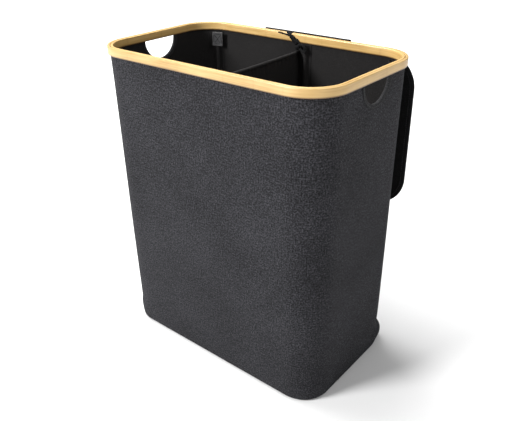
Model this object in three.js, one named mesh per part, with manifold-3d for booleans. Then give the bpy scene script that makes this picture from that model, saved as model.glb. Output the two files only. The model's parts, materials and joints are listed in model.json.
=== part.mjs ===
// A two-compartment laundry sorter: a tapering fabric-covered body under a bent bamboo rim, with a
// divider tied to the rim, a lid on a fabric strip, upright rods in sewn sleeves, and four swivel
// castors hidden under a raised base board.
//
// Millimetres, +Z up. +X is along the long walls and the lid hangs behind the +Y wall.
import * as THREE from "three";
import { mergeVertices } from "three/addons/utils/BufferGeometryUtils.js";
import Module from "manifold-3d";

const wasm = await Module();
wasm.setup();

// ---- Driving dimensions ----
const HEIGHT = 654; // floor to the top of the rim
const RIM_LENGTH = 550;
const RIM_DEPTH = 330;
const RIM_RADIUS = 75; // outer corner radius, seen from above
const RIM_HEIGHT = 16;
const RIM_THICKNESS = 12;
const RIM_EDGE = 1.5; // rounding of each hoop's long edges
const BOTTOM_LENGTH = 529; // the body at the floor
const BOTTOM_DEPTH = 303;
const BOTTOM_RADIUS = 62;
const GAP = 0.3; // between pieces that touch
const FABRIC = 0.8;
const BOARD = 2; // stiffening board in the walls
const SHELL_INSET = 4.8; // rim face to fabric face
const GROOVE_DEPTH = 5; // how far the walls reach into the rim
const SKIRT_FLOOR_GAP = 4;
const HEM_HEIGHT = 2.5;

const HANDLE_RADIUS = 45;
const HANDLE_BINDING = 2.6;
const HANDLE_Y = 9; // the hand holes are centred a little behind the middle

const ROD_RADIUS = 2.5;
const SLEEVE_WIDTH = 22;
const SLEEVE_BORE = 3.8;
const ROD_ANGLE = 20; // degrees round a corner from the long wall
const MIDDLE_ROD_X = 22; // just beside the divider
const SLEEVE_TOP_GAP = 4; // from a sleeve's top to the rim
const ROD_SUNK = 5; // a rod's top, down inside its sleeve
const TAB_HEIGHT = 30;
const TAB_THICKNESS = 1.2;

const BASE_UNDERSIDE = 34; // underside of the base board's cover
const BASE_BOARD = 4;
const PAD = 2.5; // loose stiffened pad on the floor of each compartment
const PAD_INSET = 14; // from the lining, to clear the sleeves
const PAD_TO_DIVIDER = 4;

const DIVIDER_THICKNESS = 2.4;
const HEM_TOP = 621;
const HEM_RADIUS = 3.4;
const TIE_WIDTH = 8;
const TIE_OUTSIDE_X = -31; // where the tape comes up behind the rim
const TIE_INSIDE_X = 3; // and where it meets the divider
const TIE_DROP = 4; // the tape's end, below the rim's underside
const TIE_TURN = 3; // and how far it reaches down the rim's outer face
const KNOT_RADIUS = 4.5;

const LID_LENGTH = 528;
const LID_DEPTH = 320;
const LID_RADIUS = 66;
const LID_BOARD = 3;
const LID_BINDING = 2.4;
const LID_REST_GAP = 2.5; // closed lid above the rim, with the tie and the strip between them
const STRIP_WIDTH = 214;
const STRIP_X = 9;
const STRIP_SEWN = 11; // how far the strip is sewn down the rim's face
const STRIP_ON_LID = 24;

const WHEEL_RADIUS = 13;
const WHEEL_WIDTH = 13;
const AXLE_RADIUS = 2.2;
const CASTOR_TRAIL = 12; // swivel axis to axle
const CASTOR_X = 205;
const CASTOR_Y = 98;
const PLATE_SIZE = 40;
const PLATE_THICKNESS = 1.8;
const KINGPIN_RADIUS = 3;

// ---- Worked out from them ----
const RIM_UNDERSIDE = HEIGHT - RIM_HEIGHT;
const SHELL_LENGTH = RIM_LENGTH - 2 * SHELL_INSET;
const SHELL_DEPTH = RIM_DEPTH - 2 * SHELL_INSET;
const SHELL_RADIUS = RIM_RADIUS - SHELL_INSET;
const BOARD_OUTER = FABRIC + GAP;
const LINING_OUTER = BOARD_OUTER + BOARD + GAP;
const WALL = LINING_OUTER + FABRIC;
const WALL_BOTTOM = SKIRT_FLOOR_GAP + HEM_HEIGHT + GAP;
const WALL_TOP = RIM_UNDERSIDE + GROOVE_DEPTH;
const LID_THICKNESS = 2 * FABRIC + LID_BOARD + 2 * GAP;
const RIM_BACK = RIM_DEPTH / 2;
const BASE_TOP = BASE_UNDERSIDE + FABRIC + GAP + BASE_BOARD;
const PAD_TOP = BASE_TOP + GAP + PAD;
const HINGE_TO_LID = 0.5; // the hinge line stands this far off the lid's underside
const HINGE_Y = RIM_BACK + 2 * GAP + FABRIC + LID_THICKNESS + HINGE_TO_LID;
const HINGE_Z = HEIGHT + LID_REST_GAP - HINGE_TO_LID;
const HINGE_TO_EDGE = HINGE_Y - LID_DEPTH / 2; // along the lid, to its near edge
const BACK_MOST = HINGE_Y - HINGE_TO_LID + GAP + FABRIC;
const CENTRE_SHIFT = -(BACK_MOST - RIM_DEPTH / 2) / 2; // puts the origin under the middle of the bounding box

// ---- Materials ----
const finish = (color, roughness, metalness = 0) =>
  new THREE.MeshStandardMaterial({ color, roughness, metalness });
const MATERIALS = {
  bamboo: finish(0xd9b878, 0.5),
  outerFabric: finish(0x4a4a4e, 0.9),
  lining: finish(0x232224, 0.85),
  board: finish(0x8a6f52, 0.8),
  lidFabric: finish(0x1b1b1d, 0.85),
  webbing: finish(0x333236, 0.9),
  steel: finish(0xb8babd, 0.35, 1),
  tyre: finish(0x3a3a3c, 0.7),
};

const sorter = new THREE.Group();

// Adds a geometry to a group as one named sub-part.
function add(name, geometry, material, parent = sorter) {
  const mesh = new THREE.Mesh(geometry, MATERIALS[material]);
  mesh.name = name;
  parent.add(mesh);
  return mesh;
}

// ---- Solid geometry helpers ----
function solid(geometry) {
  const bare = new THREE.BufferGeometry();
  bare.setAttribute("position", geometry.getAttribute("position").clone());
  if (geometry.index) bare.setIndex(geometry.index.clone());
  const merged = mergeVertices(bare, 1e-3);
  return new wasm.Manifold(
    new wasm.Mesh({
      numProp: 3,
      vertProperties: new Float32Array(merged.attributes.position.array),
      triVerts: new Uint32Array(merged.index.array),
    }),
  );
}

function geometryOf(manifold) {
  const mesh = manifold.getMesh();
  const geometry = new THREE.BufferGeometry();
  geometry.setAttribute("position", new THREE.BufferAttribute(mesh.vertProperties, 3));
  geometry.setIndex(new THREE.BufferAttribute(mesh.triVerts, 1));
  geometry.computeVertexNormals();
  return geometry;
}

const cut = (body, ...tools) =>
  geometryOf(tools.reduce((left, tool) => left.subtract(solid(tool)), solid(body)));
const join = (...pieces) =>
  geometryOf(pieces.slice(1).reduce((sum, piece) => sum.add(solid(piece)), solid(pieces[0])));

// A shape drawn in XY, extruded upwards from z0 to z1.
function prism(shape, z0, z1, curveSegments = 6) {
  const geometry = new THREE.ExtrudeGeometry(shape, {
    depth: z1 - z0,
    bevelEnabled: false,
    curveSegments,
  });
  return geometry.translate(0, 0, z0);
}

const box = (x0, x1, y0, y1, z0, z1) =>
  new THREE.BoxGeometry(x1 - x0, y1 - y0, z1 - z0).translate(
    (x0 + x1) / 2,
    (y0 + y1) / 2,
    (z0 + z1) / 2,
  );

// A cylinder along Y, from y0 to y1.
const barAlongY = (radius, y0, y1, segments = 24) =>
  new THREE.CylinderGeometry(radius, radius, y1 - y0, segments).translate(0, (y0 + y1) / 2, 0);

// A cylinder along Z, from z0 to z1.
const post = (radius, z0, z1, segments = 24) =>
  new THREE.CylinderGeometry(radius, radius, z1 - z0, segments)
    .rotateX(Math.PI / 2)
    .translate(0, 0, (z0 + z1) / 2);

function traceRoundedRect(path, length, depth, radius) {
  const x = length / 2 - radius;
  const y = depth / 2 - radius;
  const quarter = Math.PI / 2;
  path.absarc(x, y, radius, 0, quarter);
  path.absarc(-x, y, radius, quarter, 2 * quarter);
  path.absarc(-x, -y, radius, 2 * quarter, 3 * quarter);
  path.absarc(x, -y, radius, 3 * quarter, 4 * quarter);
  path.closePath();
  return path;
}

const roundedRect = (length, depth, radius) =>
  traceRoundedRect(new THREE.Shape(), length, depth, radius);

// A ring between two insets of one rounded rectangle.
function ringShape(length, depth, radius, outer, inner) {
  const shape = roundedRect(length - 2 * outer, depth - 2 * outer, radius - outer);
  const hole = new THREE.Path();
  traceRoundedRect(hole, length - 2 * inner, depth - 2 * inner, radius - inner);
  shape.holes.push(hole);
  return shape;
}

// Where a point of the body's plan goes at height z: lower down the body is smaller and its corners are
// tighter, while the distance in from the wall's face stays the same.
function lean(x, y, z) {
  const fall = (RIM_UNDERSIDE - z) / RIM_UNDERSIDE;
  const at = (top, bottom) => top + (bottom - top) * fall;
  const radius = at(SHELL_RADIUS, BOTTOM_RADIUS);
  const topX = SHELL_LENGTH / 2 - SHELL_RADIUS;
  const topY = SHELL_DEPTH / 2 - SHELL_RADIUS;
  const cornerX = at(SHELL_LENGTH, BOTTOM_LENGTH) / 2 - radius;
  const cornerY = at(SHELL_DEPTH, BOTTOM_DEPTH) / 2 - radius;
  const overX = Math.max(0, Math.abs(x) - topX);
  const overY = Math.max(0, Math.abs(y) - topY);
  const over = Math.hypot(overX, overY);
  const shrink = over > 0 ? Math.max(0, over + radius - SHELL_RADIUS) / over : 0;
  const leanX = (Math.min(Math.abs(x), topX) * cornerX) / topX + overX * shrink;
  const leanY = (Math.min(Math.abs(y), topY) * cornerY) / topY + overY * shrink;
  return { x: Math.sign(x) * leanX, y: Math.sign(y) * leanY };
}

function taper(geometry) {
  const position = geometry.getAttribute("position");
  for (let i = 0; i < position.count; i++) {
    const moved = lean(position.getX(i), position.getY(i), position.getZ(i));
    position.setX(i, moved.x);
    position.setY(i, moved.y);
  }
  return geometry;
}

// ---- The bamboo rim: an outer and an inner hoop that grip the walls' top edge between them ----
function rimHoop(outer, inner) {
  const ring = ringShape(RIM_LENGTH, RIM_DEPTH, RIM_RADIUS, outer + RIM_EDGE, inner - RIM_EDGE);
  const hoop = new THREE.ExtrudeGeometry(ring, {
    depth: RIM_HEIGHT - 2 * RIM_EDGE,
    bevelThickness: RIM_EDGE,
    bevelSize: RIM_EDGE,
    bevelSegments: 2,
    curveSegments: 10,
  }).translate(0, 0, RIM_UNDERSIDE + RIM_EDGE);
  const grooveShape = ringShape(
    RIM_LENGTH,
    RIM_DEPTH,
    RIM_RADIUS,
    SHELL_INSET - GAP,
    SHELL_INSET + WALL + GAP,
  );
  return cut(hoop, prism(grooveShape, RIM_UNDERSIDE - 1, WALL_TOP + GAP, 10));
}

function bambooRim() {
  const seam = RIM_THICKNESS / 2;
  add("rim_outer_hoop", rimHoop(0, seam - GAP / 2), "bamboo");
  add("rim_inner_hoop", rimHoop(seam + GAP / 2, RIM_THICKNESS), "bamboo");
}

// ---- The walls: outer fabric, stiffening boards and lining ----
// The plan of one wall between the middles of its two corners. reach is from the centre to the wall.
function panelShape(length, reach, outer, inner) {
  const x = length / 2 - SHELL_RADIUS;
  const y = SHELL_RADIUS - reach;
  const down = -Math.PI / 2;
  const seam = Math.PI / 4 - GAP / 2 / SHELL_RADIUS;
  const shape = new THREE.Shape();
  shape.absarc(x, y, SHELL_RADIUS - outer, down + seam, down, true);
  shape.absarc(-x, y, SHELL_RADIUS - outer, down, down - seam, true);
  shape.absarc(-x, y, SHELL_RADIUS - inner, down - seam, down, false);
  shape.absarc(x, y, SHELL_RADIUS - inner, down, down + seam, false);
  shape.closePath();
  return shape;
}

const handleCutter = () =>
  new THREE.CylinderGeometry(HANDLE_RADIUS, HANDLE_RADIUS, 2 * RIM_LENGTH, 40)
    .rotateZ(Math.PI / 2)
    .translate(0, HANDLE_Y, RIM_UNDERSIDE);

const WALLS = [
  { name: "front", turn: 0, length: SHELL_LENGTH, reach: SHELL_DEPTH / 2 },
  { name: "right", turn: 1, length: SHELL_DEPTH, reach: SHELL_LENGTH / 2, handle: true },
  { name: "back", turn: 2, length: SHELL_LENGTH, reach: SHELL_DEPTH / 2 },
  { name: "left", turn: 3, length: SHELL_DEPTH, reach: SHELL_LENGTH / 2, handle: true },
];

function walls() {
  for (const wall of WALLS) {
    const place = (geometry) => {
      const set = taper(geometry.rotateZ((wall.turn * Math.PI) / 2));
      return wall.handle ? cut(set, handleCutter()) : set;
    };
    const cover = prism(panelShape(wall.length, wall.reach, 0, FABRIC), WALL_BOTTOM, WALL_TOP, 5);
    add(`outer_${wall.name}_panel`, place(cover), "outerFabric");

    const half = wall.length / 2 - SHELL_RADIUS;
    const board = box(
      -half,
      half,
      -wall.reach + BOARD_OUTER,
      -wall.reach + BOARD_OUTER + BOARD,
      WALL_BOTTOM,
      WALL_TOP,
    );
    add(`stiffener_board_${wall.name}`, place(board), "board");
  }
  const liningRing = ringShape(SHELL_LENGTH, SHELL_DEPTH, SHELL_RADIUS, LINING_OUTER, WALL);
  const lining = taper(prism(liningRing, WALL_BOTTOM, WALL_TOP, 10));
  add("wall_lining", cut(lining, handleCutter()), "lining");

  const hemRing = ringShape(SHELL_LENGTH, SHELL_DEPTH, SHELL_RADIUS, 0, WALL);
  const hem = taper(prism(hemRing, SKIRT_FLOOR_GAP, SKIRT_FLOOR_GAP + HEM_HEIGHT, 8));
  add("bottom_hem", hem, "outerFabric");
}

// A half-round edge binding inside each handle opening.
function handleBindings() {
  const outer = HANDLE_RADIUS - GAP;
  const top = -GAP;
  const start = Math.asin(top / outer);
  const shape = new THREE.Shape();
  shape.absarc(0, 0, outer, start, Math.PI - start, true);
  const innerStart = Math.asin(top / (outer - HANDLE_BINDING));
  shape.absarc(0, 0, outer - HANDLE_BINDING, Math.PI - innerStart, innerStart, false);
  shape.closePath();
  const width = WALL + 2 * FABRIC;
  for (const [name, side] of [["left", -1], ["right", 1]]) {
    const binding = prism(shape, -width / 2, width / 2, 16)
      .rotateX(Math.PI / 2)
      .rotateZ(Math.PI / 2)
      .translate(side * (SHELL_LENGTH / 2 - WALL / 2), HANDLE_Y, RIM_UNDERSIDE);
    add(`handle_binding_${name}`, binding, "webbing");
  }
}

// ---- The upright rods, their sleeves and the tab over one of them ----
// Where a rod stands: a point on the lining, and the directions along the wall and into the body.
function stations() {
  const angle = THREE.MathUtils.degToRad(ROD_ANGLE);
  const radius = SHELL_RADIUS - WALL;
  const cornerX = SHELL_LENGTH / 2 - SHELL_RADIUS + radius * Math.sin(angle);
  const cornerY = SHELL_DEPTH / 2 - SHELL_RADIUS + radius * Math.cos(angle);
  const wallY = SHELL_DEPTH / 2 - WALL;
  const bow = SLEEVE_WIDTH ** 2 / 8 / (BOTTOM_RADIUS - WALL); // the flat sleeve bridges the curved wall
  const made = [];
  for (const [depthName, sideY] of [["front", -1], ["back", 1]]) {
    for (const [widthName, sideX] of [["left", -1], ["right", 1]]) {
      const inward = new THREE.Vector3(-sideX * Math.sin(angle), -sideY * Math.cos(angle), 0);
      const point = new THREE.Vector3(sideX * cornerX, sideY * cornerY, 0);
      const tab = sideX < 0 && sideY > 0;
      made.push({ name: `${depthName}_${widthName}`, point, inward, off: bow, tab });
    }
    const point = new THREE.Vector3(MIDDLE_ROD_X, sideY * wallY, 0);
    const inward = new THREE.Vector3(0, -sideY, 0);
    made.push({ name: `${depthName}_middle`, point, inward, off: 0, tab: false });
  }
  return made;
}

// A group whose Z runs up the leaning wall from the floor, whose Y points into the body, and whose
// origin is on the lining.
function stationFrame(station) {
  const at = (height) => {
    const moved = lean(station.point.x, station.point.y, height);
    return new THREE.Vector3(moved.x, moved.y, height);
  };
  const origin = at(0);
  const up = at(RIM_UNDERSIDE).sub(origin).normalize();
  const along = new THREE.Vector3().crossVectors(station.inward, up).normalize();
  const inward = new THREE.Vector3().crossVectors(up, along);
  const group = new THREE.Group();
  group.matrixAutoUpdate = false;
  group.matrix.makeBasis(along, inward, up).setPosition(origin);
  sorter.add(group);
  return group;
}

function sleeveShape(off) {
  const half = SLEEVE_WIDTH / 2;
  const base = GAP + off;
  const outer = SLEEVE_BORE + FABRIC;
  const centre = base + outer;
  const start = Math.asin((base + FABRIC - centre) / outer);
  const shape = new THREE.Shape();
  shape.moveTo(-half, base);
  shape.lineTo(half, base);
  shape.lineTo(half, base + FABRIC);
  shape.absarc(0, centre, outer, start, Math.PI - start, false);
  shape.lineTo(-half, base + FABRIC);
  shape.closePath();
  const bore = new THREE.Path();
  bore.absarc(0, centre, SLEEVE_BORE, 0, 2 * Math.PI);
  shape.holes.push(bore);
  return { shape, centre, front: centre + outer };
}

function rods() {
  const sleeveFoot = PAD_TOP + 3;
  const sleeveTop = RIM_UNDERSIDE - SLEEVE_TOP_GAP;
  const rodFoot = BASE_TOP + 1.5;
  const rodTop = sleeveTop - ROD_SUNK;
  for (const station of stations()) {
    const frame = stationFrame(station);
    const { shape, centre, front } = sleeveShape(station.off);
    add(`rod_sleeve_${station.name}`, prism(shape, sleeveFoot, sleeveTop, 10), "lining", frame);
    const tip = ROD_RADIUS * 0.6;
    const rod = new THREE.LatheGeometry(
      [
        new THREE.Vector2(0, rodFoot),
        new THREE.Vector2(tip, rodFoot),
        new THREE.Vector2(ROD_RADIUS, rodFoot + tip),
        new THREE.Vector2(ROD_RADIUS, rodTop - tip),
        new THREE.Vector2(tip, rodTop),
        new THREE.Vector2(0, rodTop),
      ],
      16,
    )
      .rotateX(Math.PI / 2)
      .translate(0, centre, 0);
    add(`support_rod_${station.name}`, rod, "steel", frame);
    if (station.tab) {
      const half = SLEEVE_WIDTH / 2;
      const near = front + GAP;
      const foot = sleeveTop - TAB_HEIGHT;
      const tab = box(-half, half, near, near + TAB_THICKNESS, foot, sleeveTop);
      add(`rod_tab_${station.name}`, tab, "webbing", frame);
    }
  }
}

// ---- The base ----
const roundedInset = (inset) =>
  roundedRect(SHELL_LENGTH - 2 * inset, SHELL_DEPTH - 2 * inset, SHELL_RADIUS - inset);

function base() {
  const slab = (inset, z0, z1) => taper(prism(roundedInset(inset), z0, z1, 8));
  const inset = WALL + 2 * GAP;
  add("bottom_cover", slab(inset, BASE_UNDERSIDE, BASE_UNDERSIDE + FABRIC), "lining");
  add("base_board", slab(inset, BASE_TOP - BASE_BOARD, BASE_TOP), "board");
  for (const [name, side] of [["left", -1], ["right", 1]]) {
    const pads = slab(WALL + PAD_INSET, BASE_TOP + GAP, PAD_TOP);
    const edge = side * PAD_TO_DIVIDER;
    const far = -side * RIM_LENGTH;
    const reach = RIM_DEPTH;
    const otherSide = box(Math.min(edge, far), Math.max(edge, far), -reach, reach, 0, HEIGHT);
    add(`floor_pad_${name}`, cut(pads, otherSide), "lining");
  }
}

// ---- The divider, its hem and the tie to the rim ----
function divider() {
  const reach = SHELL_DEPTH / 2 - WALL - GAP;
  const hemFoot = HEM_TOP - 2 * HEM_RADIUS;
  const half = DIVIDER_THICKNESS / 2;
  const panel = box(-half, half, -reach, reach, BASE_TOP + GAP, hemFoot - GAP);
  add("divider_panel", taper(panel), "lining");
  const hemReach = lean(0, reach, hemFoot).y - GAP;
  const hem = barAlongY(HEM_RADIUS, -hemReach, hemReach, 16).translate(0, 0, HEM_TOP - HEM_RADIUS);
  add("divider_hem", hem, "lining");
}

// A flat tape that comes over the rim's back, slanting across it, and is knotted at the divider.
function tie() {
  const inside = RIM_BACK - RIM_THICKNESS - GAP;
  const outside = RIM_BACK + GAP;
  const top = HEIGHT + GAP;
  const insideFoot = RIM_UNDERSIDE - TIE_DROP;
  const outsideFoot = HEIGHT - TIE_TURN;
  const line = new THREE.Shape();
  line.moveTo(inside, insideFoot);
  line.lineTo(inside, top);
  line.lineTo(outside, top);
  line.lineTo(outside, outsideFoot);
  line.lineTo(outside + FABRIC, outsideFoot);
  line.lineTo(outside + FABRIC, top + FABRIC);
  line.lineTo(inside - FABRIC, top + FABRIC);
  line.lineTo(inside - FABRIC, insideFoot);
  line.closePath();
  const tape = prism(line, -TIE_WIDTH / 2, TIE_WIDTH / 2).rotateX(Math.PI / 2).rotateZ(Math.PI / 2);
  const position = tape.getAttribute("position");
  const run = outside - inside + top - insideFoot;
  for (let i = 0; i < position.count; i++) {
    const along = outside - position.getY(i) + Math.max(0, top - position.getZ(i));
    const share = position.getY(i) > RIM_BACK ? 0 : Math.min(1, along / run);
    position.setX(i, position.getX(i) + TIE_OUTSIDE_X + share * (TIE_INSIDE_X - TIE_OUTSIDE_X));
  }
  add("divider_tie_tape", tape, "webbing");

  const knot = new THREE.SphereGeometry(KNOT_RADIUS, 16, 10).scale(1.4, 0.8, 1);
  knot.translate(TIE_INSIDE_X, inside - KNOT_RADIUS - FABRIC, insideFoot - KNOT_RADIUS - GAP);
  add("divider_tie_knot", knot, "webbing");
}

// ---- The lid, hanging behind the body, and its strip hinge ----
// Drawn closed and centred over the rim, then swung about the hinge line to hang down.
function lid() {
  const hinge = new THREE.Group();
  hinge.position.set(0, HINGE_Y, HINGE_Z);
  hinge.rotation.x = Math.PI / 2; // closed to hanging: the far edge swings up, over and down
  sorter.add(hinge);
  const outline = (inset) =>
    roundedRect(LID_LENGTH - 2 * inset, LID_DEPTH - 2 * inset, LID_RADIUS - inset);
  const layer = (shape, z0, z1, segments = 8) =>
    prism(shape, z0, z1, segments).translate(0, -HINGE_TO_EDGE - LID_DEPTH / 2, HINGE_TO_LID);
  const under = FABRIC;
  const boardFoot = under + GAP;
  const boardTop = boardFoot + LID_BOARD;
  const inset = LID_BINDING + GAP;
  add("lid_lining", layer(outline(inset), 0, under), "lining", hinge);
  add("lid_board", layer(outline(inset), boardFoot, boardTop), "board", hinge);
  add("lid_cover", layer(outline(inset), boardTop + GAP, LID_THICKNESS), "lidFabric", hinge);
  const edge = ringShape(LID_LENGTH, LID_DEPTH, LID_RADIUS, 0, LID_BINDING);
  add("lid_edge_binding", layer(edge, 0, LID_THICKNESS), "webbing", hinge);

  const x0 = STRIP_X - STRIP_WIDTH / 2;
  const x1 = STRIP_X + STRIP_WIDTH / 2;
  const start = -HINGE_TO_EDGE;
  const stripTop = HINGE_TO_LID - GAP;
  const onLid = box(x0, x1, start - STRIP_ON_LID, start + 4, stripTop - FABRIC, stripTop);
  add("hinge_strip_on_lid", onLid, "lidFabric", hinge);
  const face = RIM_BACK + GAP;
  const underTape = HEIGHT - TIE_TURN - GAP;
  const onRim = box(x0, x1, face, face + FABRIC, underTape - STRIP_SEWN, underTape);
  add("hinge_strip_on_rim", onRim, "lidFabric");
}

// ---- The castors ----
const PLATE_TOP = BASE_UNDERSIDE - GAP;
const FORK_TOP = PLATE_TOP - PLATE_THICKNESS - GAP;
const FORK_BRIDGE = 2.6;
const FORK_LEG = 1.8;
const LEG_INNER = WHEEL_WIDTH / 2 + 0.6;
const LEG_REACH = 9; // half a leg's width at the bridge
const LEG_BOSS = 4.6; // radius of a leg's round end

function castorPlate() {
  const corner = 5;
  const bottom = PLATE_TOP - PLATE_THICKNESS;
  const plate = prism(roundedRect(PLATE_SIZE, PLATE_SIZE, corner), bottom, PLATE_TOP, 4);
  const pinFoot = FORK_TOP - FORK_BRIDGE - GAP;
  const pin = post(KINGPIN_RADIUS, pinFoot - 0.5, bottom + 0.5);
  const head = post(KINGPIN_RADIUS + 1.8, pinFoot - 1.6, pinFoot);
  return join(plate, pin, head);
}

function castorFork() {
  const bridge = post(LEG_INNER + FORK_LEG + 1.6, FORK_TOP - FORK_BRIDGE, FORK_TOP, 32);
  const leg = new THREE.Shape();
  const high = FORK_TOP - FORK_BRIDGE + 0.5; // into the bridge
  leg.moveTo(-LEG_REACH, high);
  leg.lineTo(-LEG_REACH + 1, high - 3);
  leg.absarc(CASTOR_TRAIL, WHEEL_RADIUS, LEG_BOSS, (-3 * Math.PI) / 4, Math.PI / 4, false);
  leg.lineTo(LEG_REACH, high);
  leg.closePath();
  const side = prism(leg, 0, FORK_LEG, 8).rotateX(Math.PI / 2);
  const nearLeg = side.clone().translate(0, -LEG_INNER, 0);
  const farLeg = side.clone().translate(0, LEG_INNER + FORK_LEG, 0);
  const hole = post(KINGPIN_RADIUS + GAP, 0, 2 * FORK_TOP);
  const axleHole = barAlongY(AXLE_RADIUS + GAP, -RIM_DEPTH, RIM_DEPTH, 20).translate(
    CASTOR_TRAIL,
    0,
    WHEEL_RADIUS,
  );
  return cut(join(bridge, nearLeg, farLeg), hole, axleHole);
}

function castorAxle() {
  const half = LEG_INNER + FORK_LEG + GAP;
  const head = AXLE_RADIUS + 1.4;
  return new THREE.LatheGeometry(
    [
      new THREE.Vector2(0, -half - 1),
      new THREE.Vector2(head, -half - 1),
      new THREE.Vector2(head, -half),
      new THREE.Vector2(AXLE_RADIUS, -half),
      new THREE.Vector2(AXLE_RADIUS, half),
      new THREE.Vector2(head, half),
      new THREE.Vector2(head, half + 1),
      new THREE.Vector2(0, half + 1),
    ],
    16,
  ).translate(CASTOR_TRAIL, 0, WHEEL_RADIUS);
}

// A wheel with a shallow dish in each side. A flat of its 32 sides is at the bottom.
function castorWheel() {
  const half = WHEEL_WIDTH / 2;
  const bore = AXLE_RADIUS + GAP;
  const hub = 5.5;
  const web = WHEEL_RADIUS - 3.2;
  const dish = 1.6;
  const round = 1.4;
  const sides = 32;
  const tread = WHEEL_RADIUS / Math.cos(Math.PI / sides);
  const profile = [
    new THREE.Vector2(bore, -half),
    new THREE.Vector2(hub, -half),
    new THREE.Vector2(hub + 0.8, -half + dish),
    new THREE.Vector2(web - 0.8, -half + dish),
    new THREE.Vector2(web, -half),
    new THREE.Vector2(tread - round, -half),
    new THREE.Vector2(tread, -half + round),
    new THREE.Vector2(tread, half - round),
    new THREE.Vector2(tread - round, half),
    new THREE.Vector2(web, half),
    new THREE.Vector2(web - 0.8, half - dish),
    new THREE.Vector2(hub + 0.8, half - dish),
    new THREE.Vector2(hub, half),
    new THREE.Vector2(bore, half),
    new THREE.Vector2(bore, -half),
  ];
  return new THREE.LatheGeometry(profile, sides)
    .rotateY(Math.PI / sides)
    .translate(CASTOR_TRAIL, 0, WHEEL_RADIUS);
}

function castors() {
  for (const [depthName, sideY] of [["front", -1], ["back", 1]]) {
    for (const [widthName, sideX] of [["left", -1], ["right", 1]]) {
      const name = `${depthName}_${widthName}`;
      const castor = new THREE.Group();
      castor.position.set(sideX * CASTOR_X, sideY * CASTOR_Y, 0);
      sorter.add(castor);
      add(`castor_plate_${name}`, castorPlate(), "steel", castor);
      add(`castor_fork_${name}`, castorFork(), "steel", castor);
      add(`castor_axle_${name}`, castorAxle(), "steel", castor);
      add(`castor_wheel_${name}`, castorWheel(), "tyre", castor);
    }
  }
}

bambooRim();
walls();
handleBindings();
rods();
base();
divider();
tie();
lid();
castors();
sorter.position.y = CENTRE_SHIFT;

export default sorter;
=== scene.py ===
"""A laundry sorter: a tapering fabric body under a bamboo rim, with a tied divider, upright rods in
sewn sleeves, a lid that hangs behind on a fabric strip, and four small castors under the base."""

import json
import math
import random

import bpy
import numpy as np
from mathutils import Matrix, Vector


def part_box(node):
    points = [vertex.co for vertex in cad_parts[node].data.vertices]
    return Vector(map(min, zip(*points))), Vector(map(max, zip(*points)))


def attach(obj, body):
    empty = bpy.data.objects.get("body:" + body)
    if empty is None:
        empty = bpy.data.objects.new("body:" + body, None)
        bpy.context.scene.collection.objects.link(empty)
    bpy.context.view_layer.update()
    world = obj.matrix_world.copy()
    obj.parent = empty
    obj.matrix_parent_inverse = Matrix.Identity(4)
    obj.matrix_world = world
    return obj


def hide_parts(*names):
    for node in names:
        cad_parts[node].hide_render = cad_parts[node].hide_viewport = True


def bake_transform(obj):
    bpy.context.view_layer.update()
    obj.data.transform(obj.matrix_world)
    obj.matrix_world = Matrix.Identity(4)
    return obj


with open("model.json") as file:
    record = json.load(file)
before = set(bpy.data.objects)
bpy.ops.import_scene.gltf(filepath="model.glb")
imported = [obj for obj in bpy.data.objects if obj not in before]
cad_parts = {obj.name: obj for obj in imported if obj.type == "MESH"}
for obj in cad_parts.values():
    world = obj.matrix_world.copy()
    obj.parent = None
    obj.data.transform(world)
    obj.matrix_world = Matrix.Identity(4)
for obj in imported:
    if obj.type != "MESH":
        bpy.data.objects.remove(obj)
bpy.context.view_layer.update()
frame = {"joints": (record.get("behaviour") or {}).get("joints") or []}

# ---- Measures, in metres ----
MM = 0.001
rim_low, rim_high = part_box("rim_outer_hoop")
hem_low, hem_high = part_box("bottom_hem")
RIM_LENGTH = rim_high[0] - rim_low[0]
RIM_DEPTH = rim_high[1] - rim_low[1]
RIM_TOP = rim_high[2]
RIM_UNDER = rim_low[2]
MID_Y = (rim_low[1] + rim_high[1]) / 2
RIM_RADIUS = 75 * MM
RIM_THICKNESS = 12 * MM
SHELL_INSET = 4.8 * MM
SHELL_LENGTH = RIM_LENGTH - 2 * SHELL_INSET
SHELL_DEPTH = RIM_DEPTH - 2 * SHELL_INSET
SHELL_RADIUS = RIM_RADIUS - SHELL_INSET
BOTTOM_LENGTH = 529 * MM
BOTTOM_DEPTH = 303 * MM
BOTTOM_RADIUS = 62 * MM
FABRIC = 0.8 * MM
WALL = 4.2 * MM
GAP = 0.3 * MM
WALL_TOP = RIM_UNDER + 5 * MM
FOOT = hem_low[2]
HANDLE_RADIUS = 45 * MM
binding_low, binding_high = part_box("handle_binding_left")
HANDLE_Y = (binding_low[1] + binding_high[1]) / 2
WALLS = ("front", "right", "back", "left")
CORNERS = [("front_left", -1, -1), ("front_right", 1, -1), ("back_left", -1, 1), ("back_right", 1, 1)]


# ---- Places and paths ----
def points_at(x, y, z):
    """Places as one array, from coordinates that broadcast together."""
    return np.stack(np.broadcast_arrays(x, y, z), axis=-1)


def path_steps(path):
    """The distance along a path to each of its points."""
    return np.concatenate([[0], np.cumsum(np.linalg.norm(np.diff(path, axis=0), axis=1))])


def sampled(at, steps, values):
    """Rows of values, known at some distances, read off at others."""
    return np.stack([np.interp(at, steps, column) for column in np.transpose(values)], -1)


def unit(vectors):
    return vectors / np.linalg.norm(vectors, axis=-1, keepdims=True)


def two_sides(lane, half):
    """A flat profile moved to both sides of itself."""
    along = unit(np.gradient(lane, axis=0))
    normal = np.stack([along[:, 1], -along[:, 0]], -1)
    return lane - normal * half, lane + normal * half


# ---- Mesh helpers ----
def shade_smooth(mesh, angle):
    mesh.polygons.foreach_set("use_smooth", [True] * len(mesh.polygons))
    mesh.set_sharp_from_angle(angle=math.radians(angle))


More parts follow.
